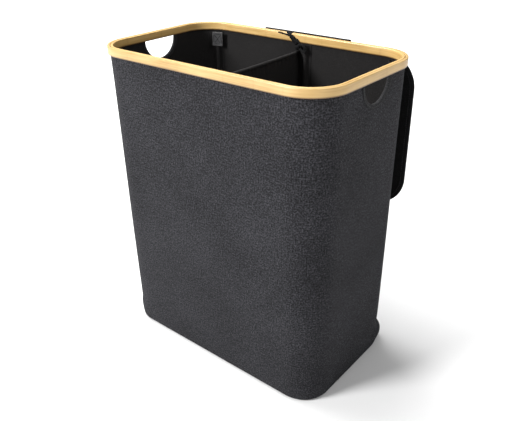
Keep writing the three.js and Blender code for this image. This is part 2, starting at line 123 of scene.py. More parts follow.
def mesh_piece(name, points, faces, uvs=None, smooth_angle=40):
    """points is an array of places, faces lists of indices, and uvs one pair for each face corner."""
    mesh = bpy.data.meshes.new(name)
    mesh.from_pydata(np.asarray(points, float).reshape(-1, 3).tolist(), [], faces)
    if uvs is not None:
        layer = mesh.uv_layers.new(name="UVMap")
        layer.data.foreach_set("uv", np.asarray(uvs, np.float32).ravel())
    mesh.validate()
    shade_smooth(mesh, smooth_angle)
    piece = bpy.data.objects.new(name, mesh)
    bpy.context.scene.collection.objects.link(piece)
    return piece


def grid_faces(rows, columns, wrap_rows, wrap_columns, first=0):
    """Quads over a grid of points, and the row and column of each face corner before wrapping."""
    faces, places = [], []
    for i in range(rows if wrap_rows else rows - 1):
        for j in range(columns if wrap_columns else columns - 1):
            corners = [(i, j), (i, j + 1), (i + 1, j + 1), (i + 1, j)]
            faces.append([first + (r % rows) * columns + c % columns for r, c in corners])
            places.extend(corners)
    return faces, places


def shell(name, front, back, u, v, wrap=False):
    """A thin closed piece between two grids of points, (rows, columns, 3). u has a value for each
    column and v for each row, in metres; with wrap, the columns close on themselves."""
    rows, columns = front.shape[:2]
    count = rows * columns
    faces, places = grid_faces(rows, columns, False, wrap)
    behind, _ = grid_faces(rows, columns, False, wrap, count)
    every = faces + [face[::-1] for face in behind]
    uvs = [(u[c], v[r]) for r, c in places]
    uvs += reverse_fours(uvs)

    def rim(line, backwards):
        for (r0, c0), (r1, c1) in zip(line, line[1:]):
            near = [(r0 % rows) * columns + c0 % columns, (r1 % rows) * columns + c1 % columns]
            quad = [near[1], near[0], near[0] + count, near[1] + count]
            pairs = [(u[c1], v[r1]), (u[c0], v[r0]), (u[c0], v[r0]), (u[c1], v[r1])]
            every.append(quad[::-1] if backwards else quad)
            uvs.extend(pairs[::-1] if backwards else pairs)

    last = columns if wrap else columns - 1
    rim([(0, c) for c in range(last + 1)], False)
    rim([(rows - 1, c) for c in range(last + 1)], True)
    if not wrap:
        rim([(r, 0) for r in range(rows)], True)
        rim([(r, columns - 1) for r in range(rows)], False)
    points = np.concatenate([front.reshape(-1, 3), back.reshape(-1, 3)])
    return mesh_piece(name, points, every, uvs)


def reverse_fours(uvs):
    return [pair for k in range(0, len(uvs), 4) for pair in uvs[k : k + 4][::-1]]


def fix_outward(piece):
    """Turns a closed piece's faces to look outwards."""
    mesh = piece.data
    corners = np.array([[mesh.vertices[i].co for i in p.vertices[:3]] for p in mesh.polygons])
    areas = np.cross(corners[:, 1] - corners[:, 0], corners[:, 2] - corners[:, 0])
    if (corners[:, 0] * areas).sum() < 0:
        mesh.flip_normals()


def move(piece, place):
    piece.data.transform(Matrix.Translation(place))


def apply_modifiers(piece):
    graph = bpy.context.evaluated_depsgraph_get()
    mesh = bpy.data.meshes.new_from_object(piece.evaluated_get(graph))
    piece.modifiers.clear()
    old = piece.data
    piece.data = mesh
    bpy.data.meshes.remove(old)
    return piece


def remove(piece):
    mesh = piece.data
    bpy.data.objects.remove(piece)
    bpy.data.meshes.remove(mesh)


def subtract(piece, cutter):
    change = piece.modifiers.new("cut", "BOOLEAN")
    change.object = cutter
    change.operation = "DIFFERENCE"
    change.solver = "EXACT"
    apply_modifiers(piece)
    remove(cutter)


def bevel(piece, width):
    change = piece.modifiers.new("bevel", "BEVEL")
    change.width = width
    change.segments = 2
    change.limit_method = "ANGLE"
    change.angle_limit = math.radians(40)
    apply_modifiers(piece)
    shade_smooth(piece.data, 40)


def join(name, pieces):
    """One piece made of several that share a material."""
    target = pieces[0]
    with bpy.context.temp_override(active_object=target, selected_editable_objects=pieces):
        bpy.ops.object.join()
    target.name = name
    return target


def lathe(name, profile, segments=48):
    """A profile of (radius, height) pairs turned about Z. A closed profile makes a ring."""
    angles = np.linspace(0, 2 * math.pi, segments, endpoint=False)
    ring = profile[0] == profile[-1]
    line = np.array(profile[:-1] if ring else profile)
    radius, height = line[:, :1], line[:, 1:]
    points = points_at(radius * np.cos(angles), radius * np.sin(angles), height)
    faces, places = grid_faces(len(line), segments, ring, True)
    along = path_steps(line)
    along = np.append(along, along[-1] + np.linalg.norm(line[0] - line[-1]))
    around = 2 * math.pi * float(line[:, 0].max())
    uvs = [(c / segments * around, along[r]) for r, c in places]
    piece = mesh_piece(name, points, faces, uvs, 35)
    if not ring:
        weld = piece.modifiers.new("weld", "WELD")
        weld.merge_threshold = 1e-6
        apply_modifiers(piece)
    return piece


def plate(name, outline, low, high):
    """A flat outline of (x, y) points, solid between two heights."""
    count = len(outline)
    points = [(x, y, low) for x, y in outline] + [(x, y, high) for x, y in outline]
    faces = [list(range(count))[::-1], list(range(count, 2 * count))]
    faces += [[i, (i + 1) % count, count + (i + 1) % count, count + i] for i in range(count)]
    return mesh_piece(name, points, faces)


def disc(radius, segments):
    steps = [2 * math.pi * k / segments for k in range(segments)]
    return [(radius * math.cos(t), radius * math.sin(t)) for t in steps]


def ribbon_path(points, spacing):
    """A smooth path through a few points, at an even spacing."""
    points = [Vector(p) for p in points]
    dense = [points[0]]
    for k, (p, q) in enumerate(zip(points, points[1:])):
        before = points[k - 1] if k else p * 2 - q
        after = points[k + 2] if k + 2 < len(points) else q * 2 - p
        for step in range(1, 21):
            t = step / 20
            curve = 2 * p + (q - before) * t + (2 * before - 5 * p + 4 * q - after) * t * t
            dense.append((curve + (3 * p - before - 3 * q + after) * t**3) / 2)
    steps = path_steps(np.array(dense))
    count = max(2, round(steps[-1] / spacing))
    return sampled(np.linspace(0, steps[-1], count + 1), steps, np.array(dense))


def ribbon(name, points, facing, width, thickness, spacing=1.2 * MM, cup=0.0, creases=0.0):
    """A flat tape along a path. facing is the way its face looks, one vector or several along it. cup
    curls its edges, as a share of its width, and creases is how deeply it is crumpled."""
    path = ribbon_path(points, spacing)
    facing = np.atleast_2d(np.asarray(facing, float))
    facing = sampled(np.linspace(0, len(facing) - 1, len(path)), range(len(facing)), facing)
    along = unit(np.gradient(path, axis=0))
    side = unit(np.cross(along, facing))
    normal = np.cross(side, along)
    across = np.linspace(-0.5, 0.5, 11)
    steps = path_steps(path)
    curl = cup * width * (1 - (2 * across) ** 2)
    curl = curl + creases * ripple(steps[:, None] * 0.5, across * width, len(name), 3.2 * MM, 5)
    middle = path[:, None] + side[:, None] * (across * width)[:, None]
    middle = middle + normal[:, None] * curl[..., None]
    lift = normal[:, None] * thickness / 2
    return shell(name, middle - lift, middle + lift, across * width, steps)


def stitches(name, path, out, body, length=2.6 * MM, pitch=4.2 * MM, radius=0.3 * MM, look="thread"):
    """Running stitches along a path, each a short rounded thread that dips at its ends. out is the
    way the sewn face looks."""
    steps = path_steps(path)
    up = unit(np.array(out, float))
    sides, rings, lift = 6, 5, 0.15 * MM
    turns = np.arange(sides)[:, None] * 2 * math.pi / sides
    arch = np.sqrt(1 - np.linspace(-0.96, 0.96, rings) ** 2)[:, None, None]
    points, faces = [], []
    for k in range(int((steps[-1] - length) // pitch)):
        at = length / 2 + (k + 0.5) * pitch + np.linspace(-0.5, 0.5, rings) * length
        place = sampled(at, steps, path)
        side = np.cross(up, unit(place[-1] - place[0]))
        around = side * np.cos(turns) + up * np.sin(turns)
        centre = place[:, None] + up * (lift + radius * (arch - 1))
        points.append(centre + around * radius * (0.45 + 0.55 * arch))
        first = k * rings * sides
        faces += grid_faces(rings, sides, False, True, first)[0]
        faces.append([first + s for s in range(sides)][::-1])
        faces.append([first + (rings - 1) * sides + s for s in range(sides)])
    return finish(mesh_piece(name, points, faces), look, "webbing", body)


def ripple(u, v, seed, wavelength, waves=7):
    """A smooth uneven surface between about -1 and 1, the same each time for one seed."""
    source = random.Random(seed)
    total = 0
    for _ in range(waves):
        turn = source.uniform(0, 2 * math.pi)
        size = 2 * math.pi / (wavelength * source.uniform(0.6, 1.7))
        phase = source.uniform(0, 2 * math.pi)
        total = total + np.sin(size * (u * math.cos(turn) + v * math.sin(turn)) + phase)
    return total / waves * 1.6


def smoothstep(low, high, x):
    t = np.clip((np.asarray(x, float) - low) / (high - low), 0, 1)
    return t * t * (3 - 2 * t)


# ---- Materials ----
class Look:
    """A node material, written one node at a time."""

    def __init__(self, name):
        self.material = bpy.data.materials.new(name)
        self.material.use_nodes = True
        self.tree = self.material.node_tree
        self.shader = self.tree.nodes["Principled BSDF"]

    def node(self, kind, **settings):
        made = self.tree.nodes.new(kind)
        for key, value in settings.items():
            if hasattr(made, key):
                setattr(made, key, value)
            else:
                self.set(made, key.replace("_", " "), value)
        return made

    def set(self, node, socket, value):
        target = node.inputs[socket]
        if isinstance(value, bpy.types.NodeSocket):
            self.tree.links.new(value, target)
        else:
            target.default_value = value

    def surface(self, **values):
        for key, value in values.items():
            self.set(self.shader, key.replace("_", " "), value)

    def math(self, operation, a, b=0.0, clamp=False):
        made = self.node("ShaderNodeMath", operation=operation, use_clamp=clamp)
        for index, value in enumerate((a, b)):
            self.set(made, index, value)
        return made.outputs[0]

    def times(self, a, b, clamp=False):
        return self.math("MULTIPLY", a, b, clamp)

    def plus(self, a, b):
        return self.math("ADD", a, b)

    def minus(self, a, b):
        return self.math("SUBTRACT", a, b)

    def rough(self, least, share, uneven):
        return self.plus(least, self.times(uneven, share))

    def ramp(self, factor, stops):
        made = self.tree.nodes.new("ShaderNodeValToRGB")
        while len(made.color_ramp.elements) < len(stops):
            made.color_ramp.elements.new(1)
        for element, (position, color) in zip(made.color_ramp.elements, stops):
            element.position = position
            element.color = (*color, 1)
        self.set(made, "Fac", factor)
        return made.outputs["Color"]

    def mix(self, factor, a, b, blend="MIX"):
        made = self.node("ShaderNodeMix", data_type="RGBA", blend_type=blend)
        for socket, value in (("Factor", factor), ("A", a), ("B", b)):
            found = [s for s in made.inputs if s.name == socket and s.enabled][0]
            if isinstance(value, bpy.types.NodeSocket):
                self.tree.links.new(value, found)
            elif socket == "Factor":
                found.default_value = value
            else:
                found.default_value = (*value, 1)
        return [s for s in made.outputs if s.enabled][0]

    def noise(self, vector, scale, detail=3.0, roughness=0.55, stretch=(1, 1, 1)):
        placed = self.node("ShaderNodeMapping", Vector=vector, Scale=stretch)
        settings = {"Scale": scale, "Detail": detail, "Roughness": roughness}
        return self.node("ShaderNodeTexNoise", Vector=placed.outputs[0], **settings).outputs["Fac"]

    def cells(self, vector, scale):
        made = self.node("ShaderNodeTexVoronoi", Vector=vector, Scale=scale, feature="F1")
        return made.outputs["Distance"]

    def fade(self, value, start, end, first, last):
        """Goes smoothly from first to last between two values."""
        made = self.node("ShaderNodeMapRange", interpolation_type="SMOOTHSTEP")
        names = ("Value", "From Min", "From Max", "To Min", "To Max")
        for name, setting in zip(names, (value, start, end, first, last)):
            self.set(made, name, setting)
        return made.outputs[0]

    def uv(self):
        return self.node("ShaderNodeUVMap", uv_map="UVMap").outputs[0]

    def place(self):
        return self.node("ShaderNodeTexCoord").outputs["Object"]

    def bump(self, height, distance):
        return self.node("ShaderNodeBump", Height=height, Distance=distance, Strength=1.0).outputs[0]


def weave_height(look, vector, pitch):
    """Plain weave: warp and weft threads that pass over each other by turns."""
    parts = look.node("ShaderNodeSeparateXYZ", Vector=vector)
    turns = math.pi / pitch
    across = look.math("SINE", look.times(parts.outputs[0], turns))
    up = look.math("SINE", look.times(parts.outputs[1], turns))
    warp = look.math("ABSOLUTE", across)
    weft = look.math("ABSOLUTE", up)
    over = look.math("GREATER_THAN", look.times(across, up), 0.0)
    return look.plus(look.times(warp, over), look.times(weft, look.minus(1.0, over)))


OUTER_GREYS = (0.005, 0.005, 0.0058), (0.0215, 0.0213, 0.0242), (0.066, 0.066, 0.0755)
LINING_GREYS = (0.011, 0.0105, 0.0105), (0.017, 0.016, 0.016), (0.028, 0.0265, 0.0265)
LID_GREYS = (0.002, 0.002, 0.0022), (0.004, 0.004, 0.0044), (0.010, 0.010, 0.011)
TAPE_GREYS = (0.008, 0.008, 0.009), (0.020, 0.020, 0.021), (0.06, 0.06, 0.064)
TIE_GREYS = (0.002, 0.002, 0.0022), (0.0045, 0.0045, 0.0048), (0.013, 0.013, 0.014)
KNOT_SPACING = 0.19


def cloth(name, greys, pitch, bump):
    """Woven melange cloth: each thread has its own grey, with slubs and a faint large unevenness,
    and painted shade in the hollows of the weave.
    """
    look = Look(name)
    vector = look.uv()
    weave = weave_height(look, vector, pitch)
    warp = look.noise(vector, 1 / (2.6 * pitch), 2, stretch=(1, 0.12, 1))
    weft = look.noise(vector, 1 / (2.6 * pitch), 2, stretch=(0.12, 1, 1))
    specks = look.noise(vector, 1 / (3.4 * pitch), 3)
    threads = look.times(look.plus(warp, weft), 0.5)
    grain = look.plus(look.times(threads, 0.35), look.times(specks, 0.65))
    cloudy = look.noise(vector, 9, 3)
    value = look.plus(grain, look.times(look.minus(cloudy, 0.5), 0.10))
    tone = look.ramp(value, list(zip((0.36, 0.5, 0.64), greys)))
    # painted shade: the base colour is darkened to 0.6 in the weave's hollows, where shade falls
    # between threads
    weave_shade = look.ramp(weave, [(0.0, (0.6, 0.6, 0.6)), (0.6, (1, 1, 1))])
    look.surface(
        Base_Color=look.mix(1.0, tone, weave_shade, "MULTIPLY"),
        Roughness=0.85,
        Normal=look.bump(look.plus(weave, look.times(grain, 0.8)), bump),
        Sheen_Weight=0.02,
        Sheen_Roughness=0.5,
        Specular_IOR_Level=0.1,
    )
    return look.material


def bamboo(name, painted_light_gain):
    """Bent bamboo with a clear lacquer: fine fibres along the hoop, a paler band now and then, and a
    lower edge painted dark, partly a scorched edge and partly painted shade under the rim. Every tone
    is scaled by a gain; a gain above 1 is painted light, a lighter copy of the same bamboo."""
    look = Look(name)
    vector = look.uv()
    fibres = look.noise(vector, 330, 4, 0.7, stretch=(0.03, 1, 1))
    strips = look.noise(vector, 120, 2, 0.5, stretch=(0.05, 1, 1))
    patches = look.noise(vector, 14, 2, 0.5, stretch=(1, 0.3, 1))
    broad = look.plus(look.times(strips, 0.3), look.times(patches, 0.25))
    tones = [(0.25, 0.14, 0.036), (0.43, 0.27, 0.088), (0.53, 0.35, 0.135), (0.62, 0.45, 0.21)]
    # the gain scales every tone; above 1 it paints light onto a lighter copy of the bamboo
    tones = [tuple(painted_light_gain * c for c in tone) for tone in tones]
    value = look.plus(look.times(fibres, 0.45), broad)
    wood = look.ramp(value, list(zip((0.3, 0.44, 0.57, 0.75), tones)))
    along = look.node("ShaderNodeSeparateXYZ", Vector=vector).outputs[0]
    wander = look.times(look.noise(vector, 5, 1, stretch=(1, 0.1, 1)), 0.35)
    knots = look.math("SINE", look.times(look.plus(along, wander), 2 * math.pi / KNOT_SPACING))
    joint = look.minus(1.0, look.math("ABSOLUTE", knots))
    sharp = look.math("POWER", look.math("ABSOLUTE", joint), 14.0)
    marked = look.times(sharp, look.times(strips, 0.4), clamp=True)
    color = look.mix(marked, wood, (0.30, 0.15, 0.045))
    height = look.node("ShaderNodeSeparateXYZ", Vector=look.place()).outputs[2]
    # painted shade under the rim, together with a scorched edge: each hoop darkened over its lowest 3
    # mm
    foot = look.fade(height, RIM_UNDER + 1 * MM, RIM_UNDER + 3 * MM, 0.85, 0.0)
    look.surface(
        Base_Color=look.mix(foot, color, (0.09, 0.04, 0.012)),
        Roughness=look.rough(0.36, 0.16, fibres),
        Normal=look.bump(look.minus(fibres, look.times(marked, 0.8)), 0.12 * MM),
        Coat_Weight=0.3,
        Coat_Roughness=0.28,
    )
    return look.material


def loops():
    """The fuzzy face of a hook-and-loop tab."""
    look = Look("loops")
    vector = look.place()
    fuzz = look.noise(vector, 1500, 4, 0.7)
    value = look.plus(look.times(look.cells(vector, 900.0), 0.5), fuzz)
    value = look.plus(value, look.times(look.noise(vector, 260, 2), 0.5))
    color = look.ramp(value, [(0.62, (0.010, 0.010, 0.011)), (1.05, (0.034, 0.034, 0.036))])
    look.surface(Base_Color=color, Roughness=0.95, Normal=look.bump(value, 0.5 * MM), Sheen_Weight=0.5)
    return look.material


def fibreboard():
    look = Look("fibreboard")
    vector = look.place()
    fibres = look.noise(vector, 420, 5, 0.75)
    value = look.plus(look.times(fibres, 0.6), look.times(look.noise(vector, 30, 3), 0.4))
    color = look.ramp(value, [(0.35, (0.16, 0.10, 0.055)), (0.65, (0.34, 0.24, 0.14))])
    look.surface(Base_Color=color, Roughness=0.85, Normal=look.bump(fibres, 0.15 * MM))
    return look.material


def zinc():
    look = Look("zinc")
    vector = look.place()
    scratches = look.noise(vector, 700, 3, 0.7, stretch=(1, 0.06, 1))
    greys = [(0.2, (0.58, 0.59, 0.60)), (0.8, (0.72, 0.73, 0.74))]
    spangle = look.ramp(look.cells(vector, 420.0), greys)
    rough = look.rough(0.26, 0.22, scratches)
    normal = look.bump(scratches, 0.04 * MM)
    look.surface(Base_Color=spangle, Metallic=1.0, Roughness=rough, Normal=normal)
    return look.material


def rubber():
    look = Look("rubber")
    vector = look.place()
    grain = look.noise(vector, 1800, 3, 0.6)
    dust = look.noise(vector, 90, 3)
    color = look.ramp(dust, [(0.4, (0.018, 0.018, 0.019)), (0.7, (0.045, 0.045, 0.046))])
    rough = look.rough(0.5, 0.25, dust)
    look.surface(Base_Color=color, Roughness=rough, Normal=look.bump(grain, 0.06 * MM))
    return look.material


def moulded(name, color, roughness):
    look = Look(name)
    vector = look.place()
    grain = look.noise(vector, 2600, 2, 0.6)
    wear = look.noise(vector, 60, 3)
    shades = look.ramp(wear, [(0.35, color), (0.75, tuple(c * 1.35 for c in color))])
    rough = look.rough(roughness, 0.12, wear)
    look.surface(Base_Color=shades, Roughness=rough, Normal=look.bump(grain, 0.03 * MM))
    return look.material


LOOKS = {
    "bamboo": bamboo("bamboo", 1.0),
    # painted light: the same bamboo with every tone 1.25 times lighter, for the inner hoop
    "inner_bamboo_painted_light": bamboo("inner_bamboo_painted_light", 1.25),
    "outer": cloth("outer_cloth", OUTER_GREYS, 0.9 * MM, 0.22 * MM),
    "lining": cloth("lining_cloth", LINING_GREYS, 0.6 * MM, 0.1 * MM),
    "lid": cloth("lid_cloth", LID_GREYS, 0.8 * MM, 0.18 * MM),
    "tape": cloth("tape_cloth", TAPE_GREYS, 0.5 * MM, 0.14 * MM),
    "tie": cloth("tie_cloth", TIE_GREYS, 0.6 * MM, 0.18 * MM),
    "thread": moulded("thread", (0.022, 0.022, 0.024), 0.6),
    "dark_thread": moulded("dark_thread", (0.004, 0.004, 0.004), 0.8),
    "loops": loops(),
    "board": fibreboard(),
    "zinc": zinc(),
    "rubber": rubber(),
    "hub": moulded("hub_plastic", (0.10, 0.10, 0.105), 0.42),
}


def finish(piece, look, slot, body=None, *nodes):
    """Gives a piece its material, the body it rides on and the CAD nodes that it replaces. slot, the
    record's slot for it, is not used."""
    piece.data.materials.clear()
    piece.data.materials.append(LOOKS[look])
    if body:
        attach(piece, body)
    if nodes:
        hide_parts(*nodes)
    return piece


def dress(node, look):
    """Gives a CAD node that stays its material."""
    for slot in bpy.data.objects[node].material_slots:
        slot.material = LOOKS[look]


# ---- The body's plan ----
class Outline:
    """A rounded rectangle, walked once round from the middle of the back, leftwards. Each point is a
    centre on the inner rectangle plus the outward normal times a radius."""

    def __init__(self, length, depth, radius, step):
        x, y = length / 2 - radius, depth / 2 - radius
        places = np.array([(0, y), (-x, y), (-x, -y), (x, -y), (x, y), (0, y)])
        arc_steps = max(4, round(radius * math.pi / 2 / step))
        centres, normals = [], []
        for side, normal in enumerate([(0, 1), (-1, 0), (0, -1), (1, 0), (0, 1)]):
            start, end = places[side], places[side + 1]
            count = max(1, round(np.linalg.norm(end - start) / step))
            centres += [start + (end - start) * k / count for k in range(count)]
            normals += [normal] * count
            if side < 4:
                turns = [math.radians(90 * (side + 1 + k / arc_steps)) for k in range(arc_steps)]
                centres += [end] * arc_steps
                normals += [(math.cos(t), math.sin(t)) for t in turns]
        self.centres, self.normals = np.array(centres), np.array(normals)
        ring = self.at(radius)
        self.along = path_steps(np.vstack([ring, ring[:1]]))

    def at(self, radius):
        return self.centres + self.normals * radius


def plan_at(z):
    """The body's length, depth and corner radius at height z, at its outer face."""
    fall = (RIM_UNDER - np.asarray(z, float)) / RIM_UNDER
    length = SHELL_LENGTH + (BOTTOM_LENGTH - SHELL_LENGTH) * fall
    depth = SHELL_DEPTH + (BOTTOM_DEPTH - SHELL_DEPTH) * fall
    radius = SHELL_RADIUS + (BOTTOM_RADIUS - SHELL_RADIUS) * fall
    return length, depth, radius


def wall_grid(outline, heights, inset, bulge=0.0):
    """Points of the wall, (heights, points round it, 3), at an inset from the body's outer face."""
    z = np.asarray(heights, float)[:, None]
    length, depth, radius = plan_at(z)
    share_x = outline.centres[:, 0] / (SHELL_LENGTH / 2 - SHELL_RADIUS)
    share_y = outline.centres[:, 1] / (SHELL_DEPTH / 2 - SHELL_RADIUS)
    out = radius - inset + bulge
    x = share_x * (length / 2 - radius) + outline.normals[:, 0] * out
    y = share_y * (depth / 2 - radius) + outline.normals[:, 1] * out
    return points_at(x, y + MID_Y, z)


BODY = Outline(SHELL_LENGTH, SHELL_DEPTH, SHELL_RADIUS, 4 * MM)


# ---- The rim ----
def rounded(corners):
    """A closed profile of (inset, height) corners, each with its own rounding."""
    made = []
    for k, (x, z, radius) in enumerate(corners):
        here, before = Vector((x, z)), Vector(corners[k - 1][:2])
        after = Vector(corners[(k + 1) % len(corners)][:2])
        if radius == 0:
            made.append((x, z))
            continue
        start = here + (before - here).normalized() * radius
        end = here + (after - here).normalized() * radius
        for t in np.linspace(0, 1, 6).tolist():
            made.append(tuple(start * (1 - t) ** 2 + here * 2 * t * (1 - t) + end * t**2))
    return made


def hoop(name, corners, seed, look, node):
    """A bent strip of bamboo round the whole rim."""
    outline = Outline(RIM_LENGTH, RIM_DEPTH, RIM_RADIUS, 3 * MM)
    profile = np.array(rounded(corners))
    inset, z = profile[:, :1], profile[:, 1:]
    wobble = 0.08 * MM * ripple(outline.along[:-1], z * 30, seed, 60 * MM)
    radius = RIM_RADIUS - inset + wobble * (inset < 1 * MM)
    x = outline.centres[:, 0] + outline.normals[:, 0] * radius
    y = outline.centres[:, 1] + outline.normals[:, 1] * radius + MID_Y
    faces, places = grid_faces(len(profile), len(outline.normals), True, True)
    across = path_steps(np.vstack([profile, profile[:1]])) + seed
    uvs = reverse_fours([(outline.along[c], across[r]) for r, c in places])
    piece = mesh_piece(name, points_at(x, y, z), [face[::-1] for face in faces], uvs)
    finish(piece, look, "bamboo", "body", node)


def rim():
    seam = RIM_THICKNESS / 2
    leg = SHELL_INSET - GAP
    inner_leg = SHELL_INSET + WALL + GAP
    roof = WALL_TOP + GAP
    edge, fine, base, inner_base = 1.9 * MM, 1.1 * MM, 1.2 * MM, 0.8 * MM
    slit = 0.5 * MM
    outer = [(0, RIM_UNDER, base), (0, RIM_TOP, edge), (seam - slit, RIM_TOP, fine)]
    outer += [(seam - slit, roof, 0), (leg, roof, 0), (leg, RIM_UNDER, base)]
    inner = [(inner_leg, RIM_UNDER, inner_base), (inner_leg, roof, 0), (seam + slit, roof, 0)]
    inner += [(seam + slit, RIM_TOP, fine), (RIM_THICKNESS, RIM_TOP, edge)]
    inner += [(RIM_THICKNESS, RIM_UNDER, inner_base)]
    hoop("bamboo_outer_hoop", outer, 1, "bamboo", "rim_outer_hoop")
    # the inner hoop takes the lighter copy of the bamboo, as painted light
    hoop("bamboo_inner_hoop", inner, 2, "inner_bamboo_painted_light", "rim_inner_hoop")


# ---- The walls ----
def handle_cutter():
    cutter = plate("handle_cutter", disc(HANDLE_RADIUS, 96), -RIM_LENGTH, RIM_LENGTH)
    cutter.data.transform(Matrix.Rotation(math.pi / 2, 4, "Y"))
    move(cutter, (0, HANDLE_Y, RIM_UNDER))
    return cutter


def body_cloth(name, heights, inset, bulge):
    """A cloth of the body's shape, with the hand holes cut out."""
    outside = wall_grid(BODY, heights, inset, bulge)
    inside = wall_grid(BODY, heights, inset + FABRIC, bulge)
    piece = shell(name, outside, inside, BODY.along, heights, wrap=True)
    subtract(piece, handle_cutter())
    return piece


def at_corners():
    """How much each point of the plan belongs to a rounded corner."""
    return np.abs(BODY.normals[:, 0] * BODY.normals[:, 1]) * 2


def square_at_base(z):
    """The base board's corners are squarer than the rim's, most at the back, and push the cloth out
    there; just above them the cloth is drawn in a little, and below them it falls back in."""
    corner = np.abs(BODY.normals).sum(1) - 1
    back = smoothstep(-0.1, 0.4, BODY.normals[:, 1])
    pushed = smoothstep(53 * MM, 33 * MM, z) * smoothstep(0, 30 * MM, z)
    drawn = np.exp(-(((z - 60 * MM) / (11 * MM)) ** 2))
    squared = corner * (5 * MM + 20 * MM * back) * pushed
    return squared - corner * back * 3 * MM * drawn


def outer_fabric():
    heights = np.concatenate([
        np.array([4.0, 4.5, 5.4, 6.8, 8.6]) * MM,
        np.linspace(11 * MM, 80 * MM, 24),
        np.linspace(85 * MM, RIM_UNDER - 20 * MM, 90),
        np.linspace(RIM_UNDER - 17 * MM, WALL_TOP, 9),
    ])
    u, v = BODY.along[:-1], heights[:, None]
    level = smoothstep(0, 60 * MM, v) * smoothstep(RIM_UNDER, RIM_UNDER - 60 * MM, v)
    bulge = 0.45 * MM * ripple(u, v * 0.5, 3, 150 * MM) * level
    bulge = bulge + 0.5 * MM * at_corners() * ripple(u * 1.5, v * 0.35, 5, 90 * MM) * level
    roll = -1.2 * MM * (1 - smoothstep(3 * MM, 8 * MM, v)) ** 2
    tuck = -0.35 * MM * smoothstep(RIM_UNDER - 5 * MM, RIM_UNDER, v)
    bulge = np.minimum(bulge, 0.8 * MM) + square_at_base(v) + roll + tuck
    piece = body_cloth("outer_fabric", heights, 0, bulge)
    panels = [f"outer_{wall}_panel" for wall in WALLS]
    finish(piece, "outer", "outer_fabric", "body", *panels, "bottom_hem")
    for wall in WALLS:
        dress(f"stiffener_board_{wall}", "board")


def back_seam():
    """Where the outer fabric's ends meet, down the back near the left corner."""
    x = -SHELL_LENGTH / 2 + SHELL_RADIUS + 6 * MM
    heights = np.linspace(FOOT + 8 * MM, RIM_UNDER - 1 * MM, 160)
    path = points_at(x, plan_at(heights)[1] / 2 + MID_Y + 0.55 * MM, heights)
    tape = ribbon("back_seam", path[::20], (0, 1, 0), 9 * MM, 0.7 * MM, 3 * MM)
    finish(tape, "outer", "outer_fabric", "body")
    for name, off in (("left", -3.2 * MM), ("right", 3.2 * MM)):
        stitches(f"back_seam_thread_{name}", path + np.array([off, 0.35 * MM, 0]), (0, 1, 0), "body")


def wall_lining():
    lower, upper = np.linspace(6.8 * MM, 60 * MM, 10), np.linspace(66 * MM, WALL_TOP, 100)
    heights = np.concatenate([lower, upper])
    u, v = BODY.along[:-1], heights[:, None]
    level = smoothstep(RIM_UNDER, RIM_UNDER - 30 * MM, v) * smoothstep(45 * MM, 90 * MM, v)
    inward = 0.5 + 0.5 * ripple(u, v * 0.45, 11, 70 * MM)
    bulge = -(0.35 + 0.8 * at_corners()) * MM * np.clip(inward, 0, 1.2) * level
    piece = body_cloth("wall_lining_cloth", heights, WALL - FABRIC, bulge)
    finish(piece, "lining", "lining", "body", "wall_lining")


def handle_binding(name, side):
    """A tape folded over the cut edge of a hand hole and stitched through."""
    half = WALL / 2 + 0.75 * MM
    edge = HANDLE_RADIUS - 2.2 * MM
    reach = HANDLE_RADIUS + 5.2 * MM
    turns = np.linspace(math.pi / 2, -math.pi / 2, 9)
    lane = [(reach, half), (reach - 2 * MM, half + 0.1 * MM)]
    lane += [(edge + 1.5 * MM * (1 - math.cos(t)), half * math.sin(t)) for t in turns]
    lane = np.array(lane + [(reach - 2 * MM, -half - 0.1 * MM), (reach, -half)])
    angles = np.linspace(math.pi + 0.012, 2 * math.pi - 0.012, 90)

    def sweep(profile):
        r, off = profile[:, 0], profile[:, 1]
        z = np.minimum(RIM_UNDER + r * np.sin(angles)[:, None], RIM_UNDER - GAP)
        y = HANDLE_Y + r * np.cos(angles)[:, None]
        return points_at(side * (plan_at(z)[0] / 2 - WALL / 2 + off), y, z)

    first, second = (sweep(face) for face in two_sides(lane, side * -0.35 * MM))
    piece = shell(f"hand_hole_binding_{name}", first, second, path_steps(lane), angles * HANDLE_RADIUS)
    finish(piece, "tape", "webbing", "body", f"handle_binding_{name}")
    for face, off in (("outside", half + 0.5 * MM), ("inside", -half - 0.5 * MM)):
        line = sweep(np.array([[HANDLE_RADIUS + 3.2 * MM, off]]))[:, 0]
        out = (math.copysign(1.0, side * off), 0, 0)
        stitches(f"hand_hole_thread_{face}_{name}", line, out, "body", 2.4 * MM, 3.6 * MM)


# ---- The rods' sleeves and tabs ----
ROD_ANGLE = math.radians(20)
MIDDLE_ROD_X = 22 * MM
sleeve_low, sleeve_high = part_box("rod_sleeve_back_middle")
SLEEVE_WIDTH = sleeve_high[0] - sleeve_low[0]
SLEEVE_HEIGHT = 9.5 * MM
SLEEVE_BOW = SLEEVE_WIDTH**2 / 8 / (BOTTOM_RADIUS - WALL)


def rod_stand(side_x, side_y, across, out, z):
    """A place at a rod by its distance across the sleeve, its distance into the body from the lining
    and its height, and the way inwards; side_x is 0 in the middle of a long wall."""
    length, depth, radius = plan_at(z)
    turn = ROD_ANGLE if side_x else 0.0
    inward = Vector((-side_x * math.sin(turn), -side_y * math.cos(turn), 0))
    x = side_x * (length / 2 - radius) if side_x else MIDDLE_ROD_X
    reach = radius - WALL - out
    x = x - inward.x * reach + inward.y * across
    y = side_y * (depth / 2 - radius) - inward.y * reach - inward.x * across + MID_Y
    return points_at(x, y, z), inward


